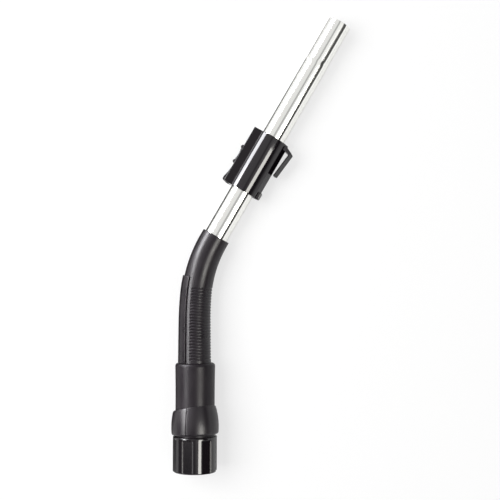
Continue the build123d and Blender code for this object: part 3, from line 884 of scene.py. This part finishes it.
# %% Hose cuff: turned and fluted
outer = soft_outline(
    [
        (HOSE_RADIUS, 0, CUFF_MOUTH_EDGE),
        (CUFF_RADIUS, 0, CUFF_EDGE),
        (CUFF_RADIUS, CUFF_LENGTH, CUFF_EDGE),
        (JOURNAL_RADIUS, CUFF_LENGTH, 0),
    ],
    longest=CUFF_ROW,
)
skin = [(r, y) for r, y in outer if r >= JOURNAL_RADIUS - HAIR or y <= CUFF_MOUTH_DEPTH]
inner = [
    (JOURNAL_RADIUS, JOURNAL_TOP),
    (SEAL_ROOM[1], JOURNAL_TOP),
    (SEAL_ROOM[1], JOURNAL_TOP - SEAL_DEPTH),
    (SEAL_ROOM[0], JOURNAL_TOP - SEAL_DEPTH),
    (SEAL_ROOM[0], JOURNAL_TOP),
    (SPIGOT_RADIUS, JOURNAL_TOP),
    (SPIGOT_RADIUS, BEAD_FOOT),
    (BEAD_RADIUS, BEAD_FOOT),
    (BEAD_RADIUS, BEAD_TOP),
    (SPIGOT_RADIUS - 1, SPIGOT_TOP),
    (AIRWAY_RADIUS, SPIGOT_TOP),
    (AIRWAY_RADIUS, HOSE_DEPTH),
    (HOSE_RADIUS, HOSE_DEPTH),
]
cuff = turned("fluted_hose_cuff", skin + inner, CUFF_STEPS)
grown(
    cuff,
    cuff_panels,
    {
        "Count": FLUTE_COUNT,
        "Turn": math.radians(FLUTE_TURN),
        "Half width": FLUTE_WIDTH / 2 * MM,
        "Top": FLUTE_TOP * MM,
        "Corner": FLUTE_CORNER * MM,
        "Floor": FLUTE_FLOOR * MM,
        "Skin": (HOSE_RADIUS + 3) * MM,
        "Edge": FLUTE_EDGE * MM,
        "Finish": gloss,
    },
)
cuff.data.materials.append(coarse_satin)
for polygon in cuff.data.polygons:
    polygon.material_index = int(polygon.center.y > JOURNAL_START * MM)
finished(cuff, neck_frame, "cuff", ["hose_cuff"], crease=45)

# %% [markdown]
# The regulator sleeve
#
# The sleeve clamps round the tube. Its section is a barrel with a flat thumb block on the outer side and a
# slanted flank towards the hook. It is drawn once as an outline and run along the wand, and Boolean cuts take
# out the room for the tube, the shutter and the stem of the slide. The hook, the flare of the thumb block and
# the small foot are soft prisms of their own plans, joined to it. Two more cuts slant the faces of the hook's
# arm, and a Bevel breaks their edges.

# %% Helpers: cut, soften and join
def applied(piece, kind, **options):
    """Puts one modifier on a piece and keeps the result as a plain mesh."""
    modifier = piece.modifiers.new(kind.lower(), kind)
    for option, value in options.items():
        setattr(modifier, option, value)
    baked(piece, modifier)


def cut_by(piece, tool):
    """Takes the tool's space out of a piece, and the tool out of the scene."""
    applied(piece, "BOOLEAN", object=tool, operation="DIFFERENCE", solver="EXACT")
    bpy.data.objects.remove(tool)


def block(name, low, high):
    """Plain box between two corners, in millimetres."""
    points = [(x, y, z) for x in (low[0], high[0]) for y in (low[1], high[1]) for z in (low[2], high[2])]
    faces = [(0, 1, 3, 2), (4, 6, 7, 5), (0, 4, 5, 1), (2, 3, 7, 6), (0, 2, 6, 4), (1, 5, 7, 3)]
    return new_piece(name, points, faces)


def joined(first, *others):
    """One object from several meshes in the same place."""
    grid = bmesh.new()
    for piece in (first, *others):
        grid.from_mesh(piece.data)
    grid.to_mesh(first.data)
    grid.free()
    for piece in others:
        bpy.data.objects.remove(piece)


# %% Regulator sleeve: body
SLEEVE_FOOT = 68.7
SLEEVE_TOP = 150.7
SLEEVE_RADIUS = 20.5
SLEEVE_EDGE = 0.7
THUMB_REACH = 27.0
THUMB_HALF_HEIGHT = 14.0
THUMB_ROUND = 0.8
FLANK_TOP_REACH = 13.3
FLANK_BEND = (18.7, 10.0)
FLANK_EDGE = 0.8
HOOK_SIDE_REACH = 23.3
FLANK_FOOT_ROUND = 0.3
FLANK_BEND_ROUND = 0.5
BARREL_STEPS = 40
BORE_OVERRUN = 5.0
CHAMBER = ((-24.5, 94.6, -9.2), (0, 138.0, 9.2))
SLOT = ((-29.5, 104.0, -3.3), (-22, 128.6, 3.3))

crease_reach = math.sqrt(SLEEVE_RADIUS**2 - THUMB_HALF_HEIGHT**2)
flank_top = math.sqrt(SLEEVE_RADIUS**2 - FLANK_TOP_REACH**2)
barrel_from = math.atan2(flank_top, FLANK_TOP_REACH)
barrel_to = math.atan2(THUMB_HALF_HEIGHT, -crease_reach)
barrel = np.linspace(barrel_from, barrel_to, BARREL_STEPS)
upper_half = [
    (HOOK_SIDE_REACH, FLANK_EDGE, FLANK_FOOT_ROUND),
    (*FLANK_BEND, FLANK_BEND_ROUND),
    *((SLEEVE_RADIUS * math.cos(turn), SLEEVE_RADIUS * math.sin(turn), 0) for turn in barrel),
    (-THUMB_REACH, THUMB_HALF_HEIGHT, THUMB_ROUND),
]
section = soft_outline(upper_half + [(x, -z, radius) for x, z, radius in reversed(upper_half)])
sleeve = soft_prism("regulator_sleeve_body", section, SLEEVE_FOOT, SLEEVE_TOP, SLEEVE_EDGE, (0, 2, 1))
bore = TUBE_RADIUS + FIT
low, high = SLEEVE_FOOT - BORE_OVERRUN, SLEEVE_TOP + BORE_OVERRUN
cut_by(sleeve, turned("tube_room", [(1, low), (bore, low), (bore, high), (1, high)], TUBE_STEPS))
cut_by(sleeve, block("shutter_room", *CHAMBER))
cut_by(sleeve, block("stem_slot", *SLOT))
print("sleeve section has", len(section), "points")

# %% Regulator sleeve: hook
HOOK_WIDTH = 14.0
HOOK_EDGE = 0.4
HOOK_ROOT = 142.7
HOOK_TIP = Vector((31.2, 106.7))
HOOK_CORNER = Vector((35.2, 142.4))
HOOK_INNER = ((HOOK_SIDE_REACH, HOOK_ROOT, 1.0), (29.5, 140.8, 1.5), (25.6, HOOK_TIP.y, 0.8))
HOOK_OUTER = ((*HOOK_TIP, 0.8), (*HOOK_CORNER, 0.8), (31.7, 144.4, 2.0), (19.2, SLEEVE_TOP, 1.0))
HOOK_FACE_IN = 3.8
HOOK_FACE_DROP = 6.4
HOOK_THICKNESS = 5.6
HOOK_BEVEL = 0.25
HOOK_BEVEL_ANGLE = 35.0

root_ends = [(FLANK_TOP_REACH, HOOK_ROOT, 0), (FLANK_TOP_REACH, SLEEVE_TOP, 0)]
hook_outline = soft_outline([root_ends[0], *HOOK_INNER, *HOOK_OUTER, root_ends[1]])
half = HOOK_WIDTH / 2
hook = soft_prism("hook", hook_outline, -half, half, HOOK_EDGE, (0, 1, 2))
arm = HOOK_CORNER - HOOK_TIP
lean = Matrix.Rotation(math.atan2(arm.y, arm.x) - math.pi / 2, 4, "Z")
arm_frame = Matrix.Translation((*(HOOK_TIP * MM), 0)) @ lean
dropped = half - HOOK_FACE_DROP
slant = [(-HOOK_FACE_IN, half), (0, dropped), (HOOK_THICKNESS, dropped)]
slant += [(HOOK_THICKNESS, half + 1), (-HOOK_FACE_IN, half + 1)]
size = len(slant)
for side in (1, -1):
    ends = [[(x, y, side * z) for x, z in slant] for y in (-2, arm.length)]
    faces = ring_faces(2, size, False) + [tuple(range(size)), tuple(range(size, 2 * size))]
    tool = new_piece("slant", np.concatenate(ends), faces)
    tool.data.transform(arm_frame)
    cut_by(hook, tool)
sharp = math.radians(HOOK_BEVEL_ANGLE)
applied(hook, "BEVEL", width=HOOK_BEVEL * MM, segments=2, limit_method="ANGLE", angle_limit=sharp)
print("hook arm", round(arm.length, 1), "mm long")

# %% Regulator sleeve: flare and foot
FLARE_REACH = 30.0
FLARE_HEIGHT = 5.3
FLARE_LENGTH = 24.7
FLARE_ROOT = 20.0
FLARE_ROUND = 3.0
FLARE_STEPS = 12
FOOT_REACH = 25.3
FOOT_LENGTH = 10.4
FOOT_HALF_WIDTH = 6.0
FOOT_ROUND = 2.0
FLAT_ENOUGH = 0.95

flare_line = []
for share in np.linspace(1, 0, FLARE_STEPS):
    reach = THUMB_REACH + (FLARE_REACH - THUMB_REACH) * (1 - share) ** 2
    flare_line.append((-reach, SLEEVE_FOOT + FLARE_HEIGHT + (FLARE_LENGTH - FLARE_HEIGHT) * share, 0))
flare_outline = soft_outline(
    [
        (-FLARE_ROOT, SLEEVE_FOOT, 0),
        (-FLARE_ROOT, SLEEVE_FOOT + FLARE_LENGTH, 0),
        *flare_line,
        (-FLARE_REACH, SLEEVE_FOOT, FLARE_ROUND),
    ]
)
flare_half = THUMB_HALF_HEIGHT - THUMB_ROUND
flare = soft_prism("flare", flare_outline, -flare_half, flare_half, THUMB_ROUND, (0, 1, 2))
foot_top = SLEEVE_FOOT + FOOT_LENGTH
foot_outline = soft_outline(
    [
        (FLANK_TOP_REACH, SLEEVE_FOOT, 0),
        (FOOT_REACH, SLEEVE_FOOT, FOOT_ROUND),
        (FOOT_REACH, foot_top, FOOT_ROUND),
        (FLANK_TOP_REACH, foot_top, 0),
    ]
)
foot = soft_prism("foot", foot_outline, -FOOT_HALF_WIDTH, FOOT_HALF_WIDTH, FOOT_ROUND, (0, 1, 2))
joined(sleeve, hook, flare, foot)
sleeve.data.materials.clear()
sleeve.data.materials.append(gloss)
sleeve.data.materials.append(dull_gloss)
for polygon in sleeve.data.polygons:
    beside_barrel = polygon.center.x < -crease_reach * MM
    polygon.material_index = int(beside_barrel and abs(polygon.normal.z) > FLAT_ENOUGH)
finished(sleeve, wand_frame, "handle", ["regulator_sleeve"], crease=30)

# %% [markdown]
# The thumb slide
#
# The slide is a small bar with a round bump at each end and a dished middle, on a stem that goes through the
# sleeve's slot. Its plan is worked out point by point along its length. Fine ridges keep the thumb from
# slipping: a tree sets round bars at an even pitch on the arc of the dish.

# %% Tree: ridges on an arc
BAR_SIDES = 14

sizes = dict.fromkeys(("Pitch", "Radius", "Length", "Arc radius", "Arc centre", "Middle"), "Float")
tree, ports = new_tree("ridge_bars", {**sizes, "Count": "Int", "Finish": "Material"})
last = add(tree, "ShaderNodeMath", {0: ports["Count"], 1: 1.0}, operation="SUBTRACT")
span = add(tree, "ShaderNodeMath", {0: last, 1: ports["Pitch"]}, operation="MULTIPLY")
reach = add(tree, "ShaderNodeMath", {0: span, 1: -0.5}, operation="MULTIPLY")
row = add(
    tree,
    "GeometryNodeMeshLine",
    {
        "Count": ports["Count"],
        "Start Location": add(tree, "ShaderNodeCombineXYZ", {"Y": reach}),
        "Offset": add(tree, "ShaderNodeCombineXYZ", {"Y": ports["Pitch"]}),
    },
    mode="OFFSET",
)
here = add(tree, "GeometryNodeInputPosition")
spot = add(tree, "ShaderNodeSeparateXYZ", {0: here})
share = add(tree, "ShaderNodeMath", {0: spot.outputs["Y"], 1: ports["Arc radius"]}, operation="DIVIDE")
turn = add(tree, "ShaderNodeMath", {0: share}, operation="ARCSINE")
cosine = add(tree, "ShaderNodeMath", {0: turn}, operation="COSINE")
out = add(
    tree,
    "ShaderNodeMath",
    {0: cosine, 1: ports["Arc radius"], 2: ports["Arc centre"]},
    operation="MULTIPLY_ADD",
)
along = add(tree, "ShaderNodeMath", {0: spot.outputs["Y"], 1: ports["Middle"]}, operation="ADD")
seat = add(tree, "ShaderNodeCombineXYZ", {"X": out, "Y": along})
row = add(tree, "GeometryNodeSetPosition", {"Geometry": row, "Position": seat})
bar = add(
    tree,
    "GeometryNodeMeshCylinder",
    {"Vertices": BAR_SIDES, "Radius": ports["Radius"], "Depth": ports["Length"]},
)
bars = add(tree, "GeometryNodeInstanceOnPoints", {"Points": row, "Instance": bar.outputs["Mesh"]})
both = add(tree, "GeometryNodeJoinGeometry", {0: ports["Mesh"]})
tree.links.new(bars.outputs[0], both.inputs[0])
ridge_bars = close_tree(tree, both, ports["Finish"])

# %% Thumb slide
SLIDE_MIDDLE = 109.3
SLIDE_HALF = 13.5
SLIDE_WIDTH = 16.0
SLIDE_SEAT = -27.3
SLIDE_THICKNESS = 2.0
SLIDE_DISH = 0.9
SLIDE_EDGE = 0.4
SLIDE_STEPS = 109
BUMP_RADIUS = 2.6
BUMP_PROUD = 1.6
RIDGE_COUNT = 6
RIDGE_PITCH = 2.4
RIDGE_RADIUS = 0.45
STEM_LENGTH = 10.0
STEM_WIDTH = 6.0
STEM_FOOT = -18.5

face = SLIDE_SEAT - SLIDE_THICKNESS
dish_half = SLIDE_HALF - 2 * BUMP_RADIUS
dish_radius = (dish_half**2 + SLIDE_DISH**2) / (2 * SLIDE_DISH)
dish_centre = face + SLIDE_DISH - dish_radius
slide_line = []
for along in np.linspace(SLIDE_HALF, -SLIDE_HALF, SLIDE_STEPS):
    out = face
    if abs(along) < dish_half:
        out = dish_centre + math.sqrt(dish_radius**2 - along**2)
    off = abs(abs(along) - (SLIDE_HALF - BUMP_RADIUS))
    if off < BUMP_RADIUS:
        out = min(out, face - BUMP_PROUD + BUMP_RADIUS - math.sqrt(BUMP_RADIUS**2 - off**2))
    slide_line.append((out, SLIDE_MIDDLE + along, 0))
slide_ends = [(SLIDE_SEAT, SLIDE_MIDDLE - SLIDE_HALF, 0), (SLIDE_SEAT, SLIDE_MIDDLE + SLIDE_HALF, 0)]
slide_outline = soft_outline(slide_ends + slide_line)
slide = soft_prism("thumb_slide_bar", slide_outline, -SLIDE_WIDTH / 2, SLIDE_WIDTH / 2, SLIDE_EDGE, (0, 1, 2))
stem = block(
    "stem",
    (SLIDE_SEAT - 0.5, SLIDE_MIDDLE - STEM_LENGTH / 2, -STEM_WIDTH / 2),
    (STEM_FOOT, SLIDE_MIDDLE + STEM_LENGTH / 2, STEM_WIDTH / 2),
)
joined(slide, stem)
grown(
    slide,
    ridge_bars,
    {
        "Count": RIDGE_COUNT,
        "Pitch": RIDGE_PITCH * MM,
        "Radius": RIDGE_RADIUS * MM,
        "Length": (SLIDE_WIDTH - 1) * MM,
        "Arc radius": dish_radius * MM,
        "Arc centre": dish_centre * MM,
        "Middle": SLIDE_MIDDLE * MM,
        "Finish": gloss,
    },
)
finished(slide, wand_frame, "slide", ["thumb_slide"], crease=40)

# %% [markdown]
# Hidden rubber and shutter
#
# The swivel's rubber ring and the shutter under the slide hardly show. Their solids have the right shape, so
# they stay and only get a finish: matt nitrile rubber, and the satin plastic.

# %% Rubber
RUBBER_IOR = 1.52
RUBBER_BLOOM = 3.0
RUBBER_ROUGHNESS = (0.6, 0.8)

rubber, tree, place = new_material("moulded_nitrile_rubber")
bloom = add(tree, "ShaderNodeTexNoise", {"Vector": place, "Scale": per_mm(RUBBER_BLOOM), "Detail": 3.0})
tones = {"Factor": bloom, "A": linear("#191919"), "B": linear("#242424")}
gloss_range = {"Value": bloom, "To Min": RUBBER_ROUGHNESS[0], "To Max": RUBBER_ROUGHNESS[1]}
close_material(tree, {**patterned(tree, tones, gloss_range), "IOR": RUBBER_IOR})
for node, finish in (("swivel_seal", rubber), ("bleed_shutter", satin)):
    solid = frame["nodes"][node]
    solid.data.materials.clear()
    solid.data.materials.append(finish)
    print(node, "keeps its solid")

# %% [markdown]
# Table, lamps and camera
#
# The picture looks straight down on a white table. One large soft lamp on the left makes the shadow. Three
# strips low on the left give the bright line on every rounded side, each placed where one part of the handle
# mirrors it, and a far box on the right gives the second line. Those four only show in reflections. The table
# glows a little for the camera and for reflections, so that it stays white while it keeps the shadow. For
# reflections that run steeply down to the left it is painted dark grey: painted shade of the handle on the
# table close under it. The room is white to look at, but shiny surfaces see it in bands, as walls, ceiling
# and dark corners would give.

# %% Directions of the picture
MOUTH_RIGHT = 72.6
MOUTH_UP = 291.3

photo_up = Vector((neck_along.x, neck_along.y, 0)).normalized()
photo_right = Vector((photo_up.y, -photo_up.x, 0))
wand_right = Vector((wand_along.y, -wand_along.x, 0)).normalized()
room_right = (photo_right + wand_right).normalized()
picture_middle = hose_mouth + photo_right * MOUTH_RIGHT * MM + photo_up * MOUTH_UP * MM
picture_middle.z = 0
print("picture's middle at", [round(v / MM) for v in picture_middle])

# %% White table
TABLE_HALF = 4.0
TABLE_GLOW = 0.65
TABLE_GLOW_STRENGTH = 1.15
TABLE_MIRRORED_GLOW = 0.25
# Painted shade: the direction and limits within which reflections see the table painted dark grey near the handle.
PAINTED_SHADE_SIDE = room_right * 0.6 + Vector((0, 0, 0.8))
PAINTED_SHADE_FROM = 0.86
PAINTED_SHADE_FULL = 0.95

corners = [(x * TABLE_HALF, y * TABLE_HALF, 0) for x, y in ((-1, -1), (1, -1), (1, 1), (-1, 1))]
table_mesh = bpy.data.meshes.new("white_table")
table_mesh.from_pydata(corners, [], [(0, 1, 2, 3)])
table = linked("white_table", table_mesh)
table_white, tree, _ = new_material("white_table")
ray = add(tree, "ShaderNodeLightPath").outputs
glow = add(tree, "ShaderNodeMath", {0: ray["Is Camera Ray"], 1: TABLE_GLOW}, operation="MULTIPLY")
glow = add(
    tree,
    "ShaderNodeMath",
    {0: ray["Is Glossy Ray"], 1: TABLE_MIRRORED_GLOW, 2: glow},
    operation="MULTIPLY_ADD",
)
# Painted shade: reflections that run steeply down to the left see the table dark grey, in place of the handle's
# shade on it.
incoming = add(tree, "ShaderNodeNewGeometry").outputs["Incoming"]
steep = add(tree, "ShaderNodeVectorMath", {0: incoming, 1: PAINTED_SHADE_SIDE}, operation="DOT_PRODUCT")
limits = {"Value": steep.outputs["Value"], "From Min": PAINTED_SHADE_FROM, "From Max": PAINTED_SHADE_FULL}
shade = add(tree, "ShaderNodeMapRange", limits, interpolation_type="SMOOTHSTEP")
shade = add(tree, "ShaderNodeMath", {0: shade, 1: ray["Is Glossy Ray"]}, operation="MULTIPLY")
tones = {"Factor": shade, "A": linear("#f4f4f4"), "B": linear("#3c3c3c")}
tone = add(tree, "ShaderNodeMix", tones, data_type="RGBA").outputs["Result"]
paper = add(tree, "ShaderNodeBsdfDiffuse", {"Color": tone})
light = add(tree, "ShaderNodeEmission", {"Color": tone, "Strength": TABLE_GLOW_STRENGTH})
mixed = add(tree, "ShaderNodeMixShader", {0: glow, 1: paper, 2: light})
add(tree, "ShaderNodeOutputMaterial", {"Surface": mixed})
table.data.materials.append(table_white)
print("table", 2 * TABLE_HALF, "m wide")

# %% White room: bands
ROOM_FILL = 0.45
CORNER_FROM = 5.0
CORNER_FULL = 11.0
CORNER_SIDE = 20.0
CORNER_FADE = 12.0
CORNER_LEVEL = 0.22
ROOM_BANDS = (
    (-90, 0.92),
    (-58, 0.86),
    (-8, 0.84),
    (-2, 0.42),
    (5, 0.42),
    (11, 0.95),
    (41, 0.95),
    (46, 0.06),
    (71, 0.06),
    (77, 1.1),
    (90, 1.1),
)
print("room seen in", len(ROOM_BANDS), "bands")

# %% White room: angles and dark corner
world = bpy.data.worlds.new("white_room")
bpy.context.scene.world = world
world.use_nodes = True
tree = world.node_tree
tree.nodes.clear()
ray = add(tree, "ShaderNodeLightPath").outputs
way = add(tree, "ShaderNodeTexCoord").outputs["Generated"]
height = add(tree, "ShaderNodeSeparateXYZ", {0: way}).outputs["Z"]
angles = []
for direction in (room_right, -photo_up):
    reach = add(tree, "ShaderNodeVectorMath", {0: way, 1: direction}, operation="DOT_PRODUCT")
    angles.append(add(tree, "ShaderNodeMath", {0: reach.outputs["Value"], 1: height}, operation="ARCTAN2"))
to_right, to_front = angles
fades = []
for angle, start, end in (
    (to_front, CORNER_FROM, CORNER_FULL),
    (to_right, CORNER_SIDE, CORNER_SIDE - CORNER_FADE),
):
    limits = {"Value": angle, "From Min": math.radians(start), "From Max": math.radians(end)}
    fades.append(add(tree, "ShaderNodeMapRange", limits, interpolation_type="SMOOTHSTEP"))
corner = add(tree, "ShaderNodeMath", dict(enumerate(fades)), operation="MULTIPLY")
corner = add(tree, "ShaderNodeMapRange", {"Value": corner, "To Min": 1.0, "To Max": CORNER_LEVEL})
print("dark corner begins", CORNER_FROM, "degrees to the front")

# %% White room: what each ray sees
half_turn = {"Value": to_right, "From Min": -math.pi / 2, "From Max": math.pi / 2}
bands = add(tree, "ShaderNodeValToRGB", {0: add(tree, "ShaderNodeMapRange", half_turn)})
bands.color_ramp.interpolation = "EASE"
while len(bands.color_ramp.elements) < len(ROOM_BANDS):
    bands.color_ramp.elements.new(1.0)
for stop, (degrees, level) in zip(bands.color_ramp.elements, ROOM_BANDS):
    stop.position = (degrees + 90) / 180
    stop.color = (level, level, level, 1)
dimmed = add(tree, "ShaderNodeVectorMath", {0: bands, "Scale": corner}, operation="SCALE")
looks = {"Factor": ray["Is Glossy Ray"], "A": (1, 1, 1, 1), "B": dimmed}
walls = add(tree, "ShaderNodeMix", looks, data_type="RGBA").outputs["Result"]
seen = add(tree, "ShaderNodeMath", {0: ray["Is Camera Ray"], 1: ray["Is Glossy Ray"]}, operation="MAXIMUM")
seen = add(tree, "ShaderNodeMath", {0: seen, 1: ray["Is Transmission Ray"]}, operation="MAXIMUM")
strength = add(tree, "ShaderNodeMapRange", {"Value": seen, "To Min": ROOM_FILL, "To Max": 1.0})
backdrop = add(tree, "ShaderNodeBackground", {"Color": walls, "Strength": strength})
add(tree, "ShaderNodeOutputWorld", {"Surface": backdrop})
print("room:", len(tree.nodes), "nodes")

# %% Lamps
def lamp(name, place, along, size, radiance, colour):
    """Soft rectangular lamp that faces the handle. Its place is given to the right, up the picture and above
    the table, in metres from the picture's middle. Its long side runs along a direction in the picture, and
    its brightness is given against 1 for the white table."""
    data = bpy.data.lights.new(name, "AREA")
    data.shape = "RECTANGLE"
    data.size, data.size_y = size
    data.energy = radiance * math.pi * size[0] * size[1]
    data.color = linear(colour)[:3]
    made = linked(name, data)
    away = photo_right * place[0] + photo_up * place[1] + Vector((0, 0, place[2]))
    back = away.normalized()
    side = photo_right * along[0] + photo_up * along[1]
    side = (side - back * side.dot(back)).normalized()
    turn = Matrix((side, back.cross(side), back)).transposed()
    made.matrix_world = Matrix.Translation(picture_middle + away) @ turn.to_4x4()
    print(name, "at", [round(v, 2) for v in made.location], "with", round(data.energy), "W")
    return made


key = lamp("key_softbox", (-1.6, 0.43, 2.12), (0, 1), (2.0, 2.0), 5.5, "#ffffff")
key.visible_glossy = False
for strip in (
    lamp("left_neck_strip", (-1.27, 0.31, 0.8), (-0.61, 0.79), (1.25, 0.36), 17, "#ffffff"),
    lamp("left_wand_strip", (-1.18, 0.98, 0.45), (0.5, 0.866), (1.1, 0.75), 17, "#fafaff"),
    lamp("left_cuff_strip", (-0.99, -0.55, 0.8), (0, 1), (0.6, 0.36), 6, "#ffffff"),
    lamp("right_box", (1.88, -0.82, 3.0), (0.866, -0.5), (1.5, 1.15), 13, "#fffdf6"),
):
    strip.visible_diffuse = False

# %% Camera
MM_PER_PIXEL = 4 / 3
PHOTO_PIXELS = 500
CAMERA_HEIGHT = 1.2
SENSOR_WIDTH = 36.0
NEAREST, FARTHEST = 0.05, 20.0

camera_data = bpy.data.cameras.new("photo_camera")
camera_data.sensor_width = SENSOR_WIDTH
camera_data.lens = SENSOR_WIDTH * CAMERA_HEIGHT / (PHOTO_PIXELS * MM_PER_PIXEL * MM)
camera_data.clip_start, camera_data.clip_end = NEAREST, FARTHEST
camera = linked("photo_camera", camera_data)
camera.location = picture_middle + Vector((0, 0, wand_end.z + CAMERA_HEIGHT))
camera.rotation_euler = (0, 0, math.atan2(-photo_up.x, photo_up.y))
bpy.context.scene.camera = camera
bpy.context.scene.view_settings.view_transform = "Standard"
print("lens", round(camera_data.lens, 1), "mm")

# %% [markdown]
# Last step
#
# The curve of the bent axis only guided the pieces, so it leaves the scene. The dressed
# handle has to stay in the box of the solids.

# %% Finish
bpy.data.objects.remove(axis_object)
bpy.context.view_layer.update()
